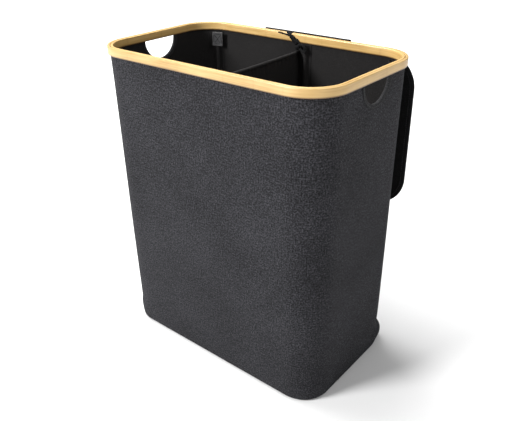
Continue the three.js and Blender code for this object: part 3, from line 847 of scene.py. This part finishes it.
def sleeve(name, side_x, side_y, seed):
    low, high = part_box(f"rod_sleeve_{name}")
    z = np.linspace(low[2], high[2], 120)[:, None]
    across = np.linspace(-0.5, 0.5, 33) * (SLEEVE_WIDTH - 0.6 * MM)
    bell = np.exp(-np.abs(across / (5.4 * MM)) ** 3)
    crease = 0.35 * MM * ripple(across * 2, z, seed, 30 * MM) * smoothstep(0, 8 * MM, np.abs(across))
    base = 0.5 * MM + (SLEEVE_BOW if side_x else 0) + FABRIC
    uneven = 1 + 0.03 * ripple(z, z, seed, 45 * MM)
    front = base + (SLEEVE_HEIGHT - 1.2 * MM) * bell * uneven + crease * (1 - bell) * 0.5
    outer, inward = rod_stand(side_x, side_y, across, front, z)
    under, _ = rod_stand(side_x, side_y, across, front - FABRIC, z)
    piece = shell(f"sleeve_{name}", under, outer, across, z[:, 0])
    fix_outward(piece)
    finish(piece, "lining", "lining", "body", f"rod_sleeve_{name}")
    dress(f"support_rod_{name}", "zinc")
    edge = SLEEVE_WIDTH / 2 - 2.4 * MM
    for tag, sign in (("a", -1), ("b", 1)):
        line, _ = rod_stand(side_x, side_y, sign * edge, base + 0.25 * MM, z[:, 0])
        stitches(f"sleeve_thread_{name}_{tag}", line, inward, "body", 3 * MM, 5.2 * MM)


def tab(name, side_x, side_y, seed):
    """A webbing tab over a corner sleeve's mouth, sewn on with a box and a cross of stitches."""
    low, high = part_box(f"rod_tab_{name}")
    z = np.linspace(low[2], high[2], 45)[:, None]
    width = SLEEVE_WIDTH + 2 * MM
    across = np.linspace(-0.5, 0.5, 37) * width
    out = SLEEVE_HEIGHT + SLEEVE_BOW + 0.3 * MM

    def curl(across, z):
        return 0.5 * MM * ripple(across, z, seed, 26 * MM) + 0.8 * MM * (across / width) ** 2

    lifted = curl(across, z) + 1.4 * MM * smoothstep(low[2] + 7 * MM, low[2], z)
    rib = 0.13 * MM * np.sin(z * 2 * math.pi / (2.1 * MM))
    outer, inward = rod_stand(side_x, side_y, across, out + 1.7 * MM + lifted + rib, z)
    under, _ = rod_stand(side_x, side_y, across, out + 0.2 * MM + lifted, z)
    piece = shell(f"tab_{name}", under, outer, across, z[:, 0])
    fix_outward(piece)
    finish(piece, "loops", "webbing", "body", f"rod_tab_{name}")
    side, top, foot = width / 2 - 3 * MM, high[2] - 4 * MM, low[2] + 4 * MM
    a, b, c, d = (-side, top), (side, top), (side, foot), (-side, foot)
    for index, start, end in ((0, a, b), (1, b, c), (2, c, d), (3, d, a), (4, a, c), (6, b, d)):
        offset, height = np.linspace(start, end, 30).T
        line, _ = rod_stand(side_x, side_y, offset, out + 1.9 * MM + curl(offset, height), height)
        sizes = (2.9 * MM, 3.3 * MM, 0.75 * MM, "dark_thread")
        stitches(f"tab_thread_{name}_{index}", line, inward, "body", *sizes)


def rods():
    for index, (name, side_x, side_y) in enumerate(CORNERS):
        sleeve(name, side_x, side_y, 20 + index)
    tab("back_left", -1, 1, 42)
    sleeve("front_middle", 0, -1, 30)
    sleeve("back_middle", 0, 1, 31)


def declare_walls():
    """Lists the sleeves and the tab, the channels and tapes sewn to the body's two cloths; the list is
    not used.
    """
    channels = [f"sleeve_{name}" for name, _, _ in CORNERS]
    channels += ["sleeve_front_middle", "sleeve_back_middle", "tab_back_left"]


# ---- The base ----
def fan_sheet(name, outline, low, high, dimple=0.0, seed=0, rings=18):
    """A flat closed sheet inside an outline of (x, y) points, from the rim to the middle by rings."""
    outline = np.asarray(outline, float)
    centre = outline.mean(0)
    steps = np.linspace(1, 0.04, rings)[:, None, None] ** 0.9
    flat = centre + (outline - centre)[None] * steps
    uneven = dimple * ripple(flat[..., 0], flat[..., 1], seed, 90 * MM)
    top = high + uneven * smoothstep(1.0, 0.93, steps[..., 0])
    around, count = len(outline), rings * len(outline)
    layers = [points_at(flat[..., 0], flat[..., 1], z).reshape(-1, 3) for z in (top, low)]
    points = np.concatenate(layers)
    faces, _ = grid_faces(rings, around, False, True)
    faces += [[i + count for i in face][::-1] for face in faces]
    middle = list(range(count - around, count))
    faces += [middle, [i + count for i in middle][::-1]]
    for j in range(around):
        k = (j + 1) % around
        faces.append([j + count, k + count, k, j])
    uvs = [points[i][:2] for face in faces for i in face]
    piece = mesh_piece(name, points, faces, uvs)
    fix_outward(piece)
    return piece


def base():
    for name, node, slot, dimple in (
        ("bottom_cover_cloth", "bottom_cover", "lining", 0.0),
        ("base_board_wrapped", "base_board", "fibreboard", 0.1 * MM),
    ):
        low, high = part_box(node)
        outline = wall_grid(BODY, [low[2]], WALL + 0.6 * MM)[0][:, :2]
        sheet = fan_sheet(name, outline, low[2], high[2], dimple, 4)
        finish(sheet, "lining", slot, "body", node)
    low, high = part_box("bottom_cover")
    floor_pad("left", -1)
    floor_pad("right", 1)


def floor_pad(name, side):
    """A loose stiffened pad, wrapped in lining and stitched round its edge."""
    low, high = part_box(f"floor_pad_{name}")
    outer, inner = 44 * MM, 6 * MM
    x_in, x_out = sorted((low[0], high[0]), key=abs)
    middle_x = (x_in + x_out) / 2
    turns = (270, 0, 90, 180) if side > 0 else (180, 90, 0, 270)
    places = [(x_out, low[1], outer), (x_out, high[1], outer)]
    places += [(x_in, high[1], inner), (x_in, low[1], inner)]
    outline = []
    for turn, (x, y, radius) in zip(turns, places):
        centre_x = x - math.copysign(radius, x - middle_x)
        centre_y = y - math.copysign(radius, y - MID_Y)
        for k in range(13)[::side]:
            at = math.radians(turn + 90 * k / 12)
            outline.append((centre_x + radius * math.cos(at), centre_y + radius * math.sin(at)))
    outline = resampled(outline[::side], 4 * MM)
    pad = fan_sheet(f"floor_pad_{name}_cloth", outline, low[2], high[2], 0.15 * MM, 50 + side, 26)
    finish(pad, "lining", "lining", "body", f"floor_pad_{name}")
    centre = np.mean(outline, axis=0)
    line = centre + (outline - centre) * 0.95
    line = points_at(line[:, 0], line[:, 1], high[2] + 0.1 * MM)
    stitches(f"floor_pad_{name}_thread", line, (0, 0, 1), "body")


def resampled(points, spacing):
    """A closed outline with evenly spaced points."""
    ring = np.array(points + points[:1])
    steps = path_steps(ring)
    wanted = np.linspace(0, steps[-1], round(steps[-1] / spacing), endpoint=False)
    return sampled(wanted, steps, ring)


# ---- The divider ----
def divider():
    low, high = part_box("divider_panel")
    hem_low, hem_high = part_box("divider_hem")
    hem_z = (hem_low[2] + hem_high[2]) / 2
    hem_radius = (hem_high[2] - hem_low[2]) / 2
    lower = np.linspace(low[2], high[2] - 60 * MM, 60)
    upper = np.linspace(high[2] - 59 * MM, hem_z - 2 * MM, 46)
    z = np.concatenate([lower, upper])[:, None]
    share = np.linspace(-1, 1, 181)
    reach = plan_at(z)[1] / 2 - WALL - 0.5 * MM
    y = share * reach + MID_Y
    below = hem_z - z
    pucker = np.exp(-below / (9 * MM)) * smoothstep(0, 3 * MM, below)
    gathers = np.sin(share * 62 + 1.7 * np.sin(share * 9) + 0.9 * np.sin(share * 23))
    sway = ripple(y, z * 0.6, 8, 120 * MM) * smoothstep(0, 40 * MM, z - low[2])
    hold = 1 - np.abs(share) ** 6
    x = (1.4 * MM * pucker * gathers + 1.6 * MM * sway * (1 - 0.6 * pucker)) * hold
    thin = 0.7 * MM
    left, right = points_at(x - thin, y, z), points_at(x + thin, y, z)
    top_reach = float(reach[-1, 0])
    panel = shell("divider_cloth", left, right, share * top_reach, z[:, 0])
    fix_outward(panel)
    finish(panel, "lining", "lining", "body", "divider_panel")
    hem = gathered_hem(hem_z, hem_radius, top_reach - 0.6 * MM)
    line_y = np.linspace(-1, 1, 200) * (top_reach - 3 * MM) + MID_Y
    for name, side in (("left", -1), ("right", 1)):
        wave = side * (1.2 * MM + 0.25 * MM * np.sin(line_y * 400))
        line = points_at(wave, line_y, hem_z - hem_radius - 1.2 * MM)
        stitches(f"divider_thread_{name}", line, (side, 0, 0), "body")


def tube(name, points, u, v):
    """A closed piece from a grid of rings, (rings, around, 3), with flat ends."""
    rings, around = points.shape[:2]
    faces, places = grid_faces(rings, around, False, True)
    uvs = [(u[c % around], v[r]) for r, c in places]
    last = (rings - 1) * around
    faces += [list(range(around))[::-1], [last + k for k in range(around)]]
    return mesh_piece(name, points, faces, uvs + [(0.0, 0.0)] * (2 * around))


def gathered_hem(z, radius, reach):
    """The hem along the divider's top: cloth gathered round a cord, with small folds across it."""
    y = np.linspace(-reach, reach, 420)
    turn = np.linspace(0, 2 * math.pi, 20, endpoint=False)
    along = y[:, None]
    folds = np.sin(along * 900 + 2.2 * np.sin(along * 210)) * (0.6 + 0.4 * np.cos(turn * 2))
    uneven = ripple(along, turn * 3 * MM, 14, 40 * MM)
    r = radius * (1.12 + 0.08 * folds + 0.05 * uneven)
    drop = 1.8 * MM * (1 - (along / reach) ** 2)
    points = points_at(r * np.cos(turn), along + MID_Y, z - drop + r * np.sin(turn))
    hem = tube("divider_hem_cloth", points, turn * radius, y)
    fix_outward(hem)
    return finish(hem, "lining", "lining", "body", "divider_hem")


# ---- The tie ----
def tie():
    """A tape sewn behind the rim comes over it aslant and is knotted to the divider's corner."""
    tape_low, tape_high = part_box("divider_tie_tape")
    knot_low, knot_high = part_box("divider_tie_knot")
    knot_at = (Vector(knot_low) + Vector(knot_high)) / 2
    inner_y = tape_low[1]
    outer_y = tape_high[1] - 0.4 * MM
    top = tape_high[2] - 0.4 * MM

    def from_edge(edge_y, *steps):
        """Places, from steps in millimetres from one edge of the rim's top."""
        return [(x * MM, edge_y + y * MM, top + z * MM) for x, y, z in steps]

    strap = from_edge(outer_y, (-34, 0, -4.5), (-33.5, -0.1, -1.3), (-32, -2, -0.1))
    strap += from_edge((outer_y + inner_y) / 2, (-27, 0, 0))
    strap += from_edge(inner_y, (-22, 2, -0.1), (-17, -0.7, -3), (-8, -1.4, -11), (0, -2, -18))
    strap.append(knot_at + Vector((-0.5, 1, 0)) * MM)
    looks_out = [(0, 1, 0.2), (0, 0.5, 1), (0, 0, 1), (0, 0, 1), (0, -0.6, 1), (0, -1, 0.2), (0, -1, 0)]
    width = 12 * MM
    band = ribbon("tie_band", strap, looks_out, width, 1 * MM, cup=0.02, creases=0.2 * MM)
    wrap = from_edge(inner_y, (-17, -2, -5), (-11, -2.8, -9), (-5, -3.3, -14), (0, -3.6, -18.5))
    under = ribbon("tie_band_end", wrap, (0, -1, 0.2), 9 * MM, 1.2 * MM, cup=0.15, creases=0.5 * MM)
    loose = from_edge(inner_y, (-13, -3, -6), (-24, -3.2, -3.5), (-36, -2.6, -1.8), (-50, -1.8, -0.8))
    tail = ribbon("tie_tail", loose, (0.1, -1, 0.6), 3 * MM, 1.1 * MM, cup=0.1)
    start = knot_at + Vector((1, -1.5, 2)) * MM
    bow = [(0, 0, 0), (7, -1, 5), (14, -1.5, 4), (20, -2, -1)]
    bow += [(21, -2.5, -8), (14, -3, -7), (7, -2.5, -3)]
    bow = [start + Vector(step) * MM for step in bow]
    loop = ribbon("tie_loop", bow, (0.3, -1, 0.5), 5.5 * MM, 1 * MM, cup=0.14, creases=0.3 * MM)
    knot = knot_mesh(knot_at)
    pieces = [under, tail, loop, knot]
    for piece in [band] + pieces:
        fix_outward(piece)
        finish(piece, "tie", "webbing", "body")
    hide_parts("divider_tie_tape")
    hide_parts("divider_tie_knot")


def knot_mesh(centre):
    """A flat tape pulled into a knot: a wrapped, creased lump."""
    a = np.linspace(0, 2 * math.pi, 40, endpoint=False)
    rise = np.linspace(-math.pi / 2, math.pi / 2, 25)
    b = rise[:, None]
    wrap = 0.12 * np.sin(3 * a + 5 * b) + 0.06 * np.sin(7 * a - 4 * b)
    r = 1 + wrap * np.cos(b)
    x = 7 * MM * r * np.cos(a) * np.cos(b)
    y = 4.2 * MM * r * np.sin(a) * np.cos(b)
    z = 5.2 * MM * (r * np.sin(b) + 0.12 * np.cos(a))
    points = points_at(x + centre.x, y + centre.y, z + centre.z)
    return tube("tie_knot", points, a * 6 * MM, rise * 5 * MM)


# ---- The lid ----
LID_RADIUS = 66 * MM


def lid():
    low, high = (Vector(corner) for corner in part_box("lid_edge_binding"))
    length, thickness, depth = high - low
    middle = (low + high) / 2
    outline = Outline(length, depth, LID_RADIUS, 4 * MM)
    panel = lid_panel(outline, middle, length, depth, thickness)
    binding = lid_binding(outline, middle, thickness)
    dress("lid_board", "board")
    ring = outline.at(LID_RADIUS - 7.5 * MM)
    ring = np.concatenate([ring, ring[:1]])
    for name, side in (("wall_side", -1), ("outer_side", 1)):
        y = middle.y + side * (thickness / 2 + 0.35 * MM)
        line = points_at(ring[:, 0] + middle.x, y, ring[:, 1] + middle.z)
        stitches(f"lid_thread_{name}", line, (0, side, 0), "lid")


def lid_panel(outline, middle, length, depth, thickness):
    """The cloth on both faces of the lid, very slightly crowned over the board."""
    edge = outline.at(LID_RADIUS - 3 * MM)
    panel = fan_sheet("lid_cloth", edge, -thickness / 2, thickness / 2, rings=30)
    for vertex in panel.data.vertices:
        x, y, z = vertex.co
        uneven = float(ripple(x, y, 60 if z > 0 else 61, 110 * MM))
        room = 1 - max(abs(x) / (length / 2), abs(y) / (depth / 2)) ** 4
        lift = 0.25 * MM * max(room, 0) * (0.4 + uneven)
        vertex.co = (x, y, z - 0.45 * MM * math.copysign(1, z) + math.copysign(lift, z))
    panel.data.transform(Matrix.Rotation(math.pi / 2, 4, "X"))
    move(panel, middle)
    return finish(panel, "lid", "lid_fabric", "lid", "lid_cover", "lid_lining")


def lid_binding(outline, middle, thickness):
    """A tape folded round the lid's edge."""
    half = thickness / 2
    turns = np.linspace(-math.pi / 2, math.pi / 2, 11)
    lane = [(9.5 * MM, -half - 0.1 * MM), (5.5 * MM, -half - 0.2 * MM)]
    lane += [(2.4 * MM - 2.1 * MM * math.cos(t), (half - 0.05 * MM) * math.sin(t)) for t in turns]
    lane = np.array(lane + [(5.5 * MM, half + 0.2 * MM), (9.5 * MM, half + 0.1 * MM)])

    def sweep(profile):
        inset, off = profile[:, :1], profile[:, 1:]
        x = outline.centres[:, 0] + outline.normals[:, 0] * (LID_RADIUS - inset) + middle.x
        z = outline.centres[:, 1] + outline.normals[:, 1] * (LID_RADIUS - inset) + middle.z
        return points_at(x, middle.y + off, z)

    first, second = (sweep(face) for face in two_sides(lane, 0.3 * MM))
    binding = shell("lid_binding", first, second, outline.along, path_steps(lane), wrap=True)
    fix_outward(binding)
    return finish(binding, "lid", "webbing", "lid", "lid_edge_binding")


def hinge_strip():
    """One strip of cloth, sewn to the back of the rim and to the lid, built in one fixed fold
    over the hinge.
    """
    rim_low, rim_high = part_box("hinge_strip_on_rim")
    lid_low, lid_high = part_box("hinge_strip_on_lid")
    joint = next(j for j in frame["joints"] if j["name"] == "lid_hinge")
    hinge_z = Vector(joint["pos_m"]).z
    y_rim = (rim_low[1] + rim_high[1]) / 2
    y_lid = (lid_low[1] + lid_high[1]) / 2
    half = (y_lid - y_rim) / 2
    rise = half * 0.75
    shoulder = hinge_z - 0.5 * MM - rise
    lane = [(y_rim, rim_low[2] + k * (shoulder - rim_low[2]) / 8) for k in range(8)]
    for turn in np.linspace(math.pi, 0, 17):
        lane.append(((y_rim + y_lid) / 2 + half * math.cos(turn), shoulder + rise * math.sin(turn)))
    lane += [(y_lid, shoulder - k * (shoulder - lid_low[2]) / 12) for k in range(1, 13)]
    lane = np.array(lane)
    x = np.linspace(rim_low[0], rim_high[0], 90)
    steps = path_steps(lane)
    uneven = 0.25 * MM * ripple(x, steps[:, None], 70, 60 * MM)
    first, second = (points_at(x, at[:, :1], at[:, 1:] + uneven) for at in two_sides(lane, -0.35 * MM))
    strip = shell("hinge_strip", first, second, x, steps)
    fix_outward(strip)
    finish(strip, "lid", "lid_fabric")
    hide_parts("hinge_strip_on_rim", "hinge_strip_on_lid")
    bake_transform(strip)
    line_x = np.linspace(x[0] + 3 * MM, x[-1] - 3 * MM, 60)
    for name, body, y, low in (("rim", "body", y_rim, rim_low), ("lid", "lid", y_lid, lid_low)):
        line = points_at(line_x, y + 0.5 * MM, low[2] + 3 * MM)
        stitches(f"hinge_thread_{name}", line, (0, 1, 0), body)


# ---- The castors ----
def castor(name):
    plate_low, plate_high = (Vector(corner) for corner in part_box(f"castor_plate_{name}"))
    wheel_low, wheel_high = (Vector(corner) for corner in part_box(f"castor_wheel_{name}"))
    centre = (plate_low + plate_high) / 2
    hub = (wheel_low + wheel_high) / 2
    size = wheel_high - wheel_low
    castor_wheel(name, hub, size.z / 2, size.y / 2)
    castor_plate(name, centre, plate_low, plate_high)
    castor_fork(name, centre, hub)


def turned(name, profile, segments, place, lay_down=False):
    """A turned piece at a place, upright or with its axis along Y."""
    piece = lathe(name, profile, segments)
    fix_outward(piece)
    tilt = Matrix.Rotation(math.pi / 2, 4, "X") if lay_down else Matrix()
    piece.data.transform(Matrix.Translation(place) @ tilt)
    return piece


def castor_wheel(name, hub, radius, half):
    bore = 2.5 * MM
    crown = [(radius - 0.5 * MM * t * t, half * 0.78 * t) for t in np.linspace(-1, 1, 9)]
    edge = [(radius - 1.3 * MM, -half * 0.95), (radius - 2.6 * MM, -half)]
    inside = radius - 3.2 * MM
    tread = edge[::-1] + crown + [(r, -z) for r, z in edge] + [(inside, half * 0.9)]
    tread += [(inside, -half * 0.9), edge[1]]
    side = [(bore, half), (5 * MM, half), (5.8 * MM, half - 1.5 * MM)]
    side += [(radius - 4.6 * MM, half - 1.7 * MM), (radius - 3.5 * MM, half - 0.6 * MM)]
    body = [(r, -z) for r, z in side] + [(radius - 3.3 * MM, 0)] + side[::-1] + [(bore, -half)]
    tyre = turned(f"castor_tyre_{name}", tread, 64, hub, True)
    finish(tyre, "rubber", "tyre", f"castor_wheel_{name}", f"castor_wheel_{name}")
    core = turned(f"castor_core_{name}", body, 48, hub, True)
    finish(core, "hub", "tyre", f"castor_wheel_{name}")


def rounded_square(size, radius):
    reach = size / 2 - radius
    points = []
    for k, (x, y) in enumerate(((reach, reach), (-reach, reach), (-reach, -reach), (reach, -reach))):
        for step in range(9):
            turn = math.radians(90 * (k + step / 8))
            points.append((x + radius * math.cos(turn), y + radius * math.sin(turn)))
    return points


def castor_plate(name, centre, low, high):
    foot = high.z - 1.8 * MM
    body = plate(f"castor_top_{name}", rounded_square(high.x - low.x, 5 * MM), foot, high.z)
    bevel(body, 0.35 * MM)
    move(body, (centre.x, centre.y, 0))
    parts = [body]
    head = [(0, -1.2 * MM), (1.2 * MM, -1.15 * MM), (2.6 * MM, -0.5 * MM), (2.9 * MM, 0), (0, 0)]
    long, wide, spacing = 1.8 * MM, 0.3 * MM, 15 * MM
    for sx in (-1, 1):
        for sy in (-1, 1):
            screw = lathe(f"castor_screw_{name}_{sx}_{sy}", head, 24)
            slot = [(-long, -wide), (long, -wide), (long, wide), (-long, wide)]
            subtract(screw, plate("slot", slot, -2 * MM, -0.8 * MM))
            move(screw, (centre.x + sx * spacing, centre.y + sy * spacing, foot))
            fix_outward(screw)
            parts.append(screw)
    pin, hidden = low.z, foot + 0.2 * MM
    rivet = [(0, pin), (3.6 * MM, pin + 0.1 * MM), (4.7 * MM, pin + 0.7 * MM)]
    rivet += [(4.8 * MM, pin + 1.6 * MM), (3 * MM, pin + 1.6 * MM), (3 * MM, hidden), (0, hidden)]
    parts.append(turned(f"castor_kingpin_{name}", rivet, 32, (centre.x, centre.y, 0)))
    for part in parts:
        finish(part, "zinc", "steel")
    whole = join(f"castor_top_{name}", parts)
    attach(whole, "body")
    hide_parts(f"castor_plate_{name}")


def castor_fork(name, centre, hub):
    """A pressed steel fork: a round crown with two bent cheeks, and a riveted axle."""
    low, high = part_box(f"castor_fork_{name}")
    top, foot = high[2], high[2] - 2.6 * MM
    leg, inner, bore, chamfer = 1.8 * MM, 7.1 * MM, 3.3 * MM, 0.8 * MM
    radius = (high[1] - low[1]) / 2
    profile = [(bore, foot), (radius - chamfer, foot), (radius, foot + chamfer)]
    profile += [(radius, top - chamfer), (radius - chamfer, top), (bore, top), (bore, foot)]
    crown = turned(f"castor_crown_{name}", profile, 48, (centre.x, centre.y, 0))
    finish(crown, "zinc", "steel", f"castor_fork_{name}", f"castor_fork_{name}")
    boss = 4.6 * MM
    trail = hub.x - centre.x
    turns = [math.radians(-135 + 180 * k / 16) for k in range(17)]
    outline = [(-9 * MM, foot + 0.4 * MM), (-8 * MM, foot - 2.5 * MM)]
    outline += [(trail + boss * math.cos(t), hub.z + boss * math.sin(t)) for t in turns]
    outline.append((9 * MM, foot + 0.4 * MM))
    for tag, start in (("near", -inner), ("far", inner + leg)):
        cheek = plate(f"castor_cheek_{tag}_{name}", outline, 0, leg)
        bevel(cheek, 0.3 * MM)
        cheek.data.transform(Matrix.Rotation(math.pi / 2, 4, "X"))
        move(cheek, (centre.x, hub.y + start, 0))
        fix_outward(cheek)
        finish(cheek, "zinc", "steel", f"castor_fork_{name}")
    half = inner + leg + 0.3 * MM
    head, pin = 3.6 * MM, 2.2 * MM
    rivet = [(0, -half - 1 * MM), (head - chamfer, -half - 0.9 * MM), (head, -half - 0.3 * MM)]
    rivet += [(head, -half), (pin, -half), (pin, half), (head, half), (head, half + 0.3 * MM)]
    rivet += [(head - chamfer, half + 0.9 * MM), (0, half + 1 * MM)]
    axle = turned(f"castor_rivet_{name}", rivet, 32, hub, True)
    finish(axle, "zinc", "steel", f"castor_fork_{name}", f"castor_axle_{name}")


# ---- The floor, the light and the camera ----
def stage():
    look = Look("studio_floor")
    place = look.place()
    far = look.node("ShaderNodeVectorMath", operation="LENGTH")
    look.set(far, 0, place)
    look.surface(
        Base_Color=look.ramp(look.noise(place, 3, 3), [(0.3, (0.83,) * 3), (0.7, (0.85,) * 3)]),
        Roughness=0.9,
        Specular_IOR_Level=0.1,
        Emission_Color=(1, 1, 1, 1),
        Emission_Strength=look.fade(far.outputs["Value"], 0.6, 3.0, 0.0, 0.8),
    )
    size = 9
    points = [(-size, -size, 0), (size, -size, 0), (size, size, 0), (-size, size, 0)]
    floor = mesh_piece("studio_floor", points, [[0, 1, 2, 3]])
    floor.data.materials.append(look.material)


def area_light(name, place, target, size, watts):
    lamp = bpy.data.lights.new(name, "AREA")
    lamp.shape = "DISK"
    lamp.size = size
    lamp.energy = watts
    holder = bpy.data.objects.new(name, lamp)
    holder.location = place
    holder.rotation_euler = (Vector(target) - Vector(place)).to_track_quat("-Z", "Y").to_euler()
    bpy.context.scene.collection.objects.link(holder)


def lights():
    area_light("key", (-1.5, -2.9, 2.3), (0, 0, 0.3), 1.2, 178)
    area_light("top", (-0.9, 0.2, 3.0), (0, 0, 0.3), 1.8, 110)
    area_light("right", (2.3, -0.5, 2.3), (0, 0, 0.5), 1.2, 18)
    world = bpy.data.worlds.new("studio")
    world.use_nodes = True
    background = world.node_tree.nodes["Background"]
    background.inputs["Color"].default_value = (1, 1, 1, 1)
    background.inputs["Strength"].default_value = 0.36
    bpy.context.scene.world = world
    bpy.context.scene.view_settings.view_transform = "Standard"


def camera():
    azimuth, elevation, roll = (math.radians(a) for a in (39.32, 27.81, -0.58))
    distance, focal, image_width, sensor = 1.3337, 612.17, 520, 36
    target_height, target_right = 299.3 * MM, 13.5 * MM
    right = Vector((math.cos(azimuth), math.sin(azimuth), 0))
    level = math.cos(elevation)
    back = Vector((math.sin(azimuth) * level, -math.cos(azimuth) * level, math.sin(elevation)))
    target = Vector((0, MID_Y, target_height + FOOT)) + right * target_right
    turned_right = right * math.cos(roll) + back.cross(right) * math.sin(roll)
    lens = bpy.data.cameras.new("camera")
    lens.sensor_width = sensor
    lens.lens = focal / image_width * sensor
    lens.clip_end = 50
    holder = bpy.data.objects.new("camera", lens)
    axes = Matrix((turned_right, back.cross(turned_right), back)).transposed().to_4x4()
    holder.matrix_world = Matrix.Translation(target + back * distance) @ axes
    bpy.context.scene.collection.objects.link(holder)
    bpy.context.scene.camera = holder


camera()
stage()
lights()
rim()
outer_fabric()
back_seam()
wall_lining()
handle_binding("left", -1)
handle_binding("right", 1)
rods()
declare_walls()
base()
divider()
tie()
lid()
hinge_strip()
for corner_name, _, _ in CORNERS:
    castor(corner_name)
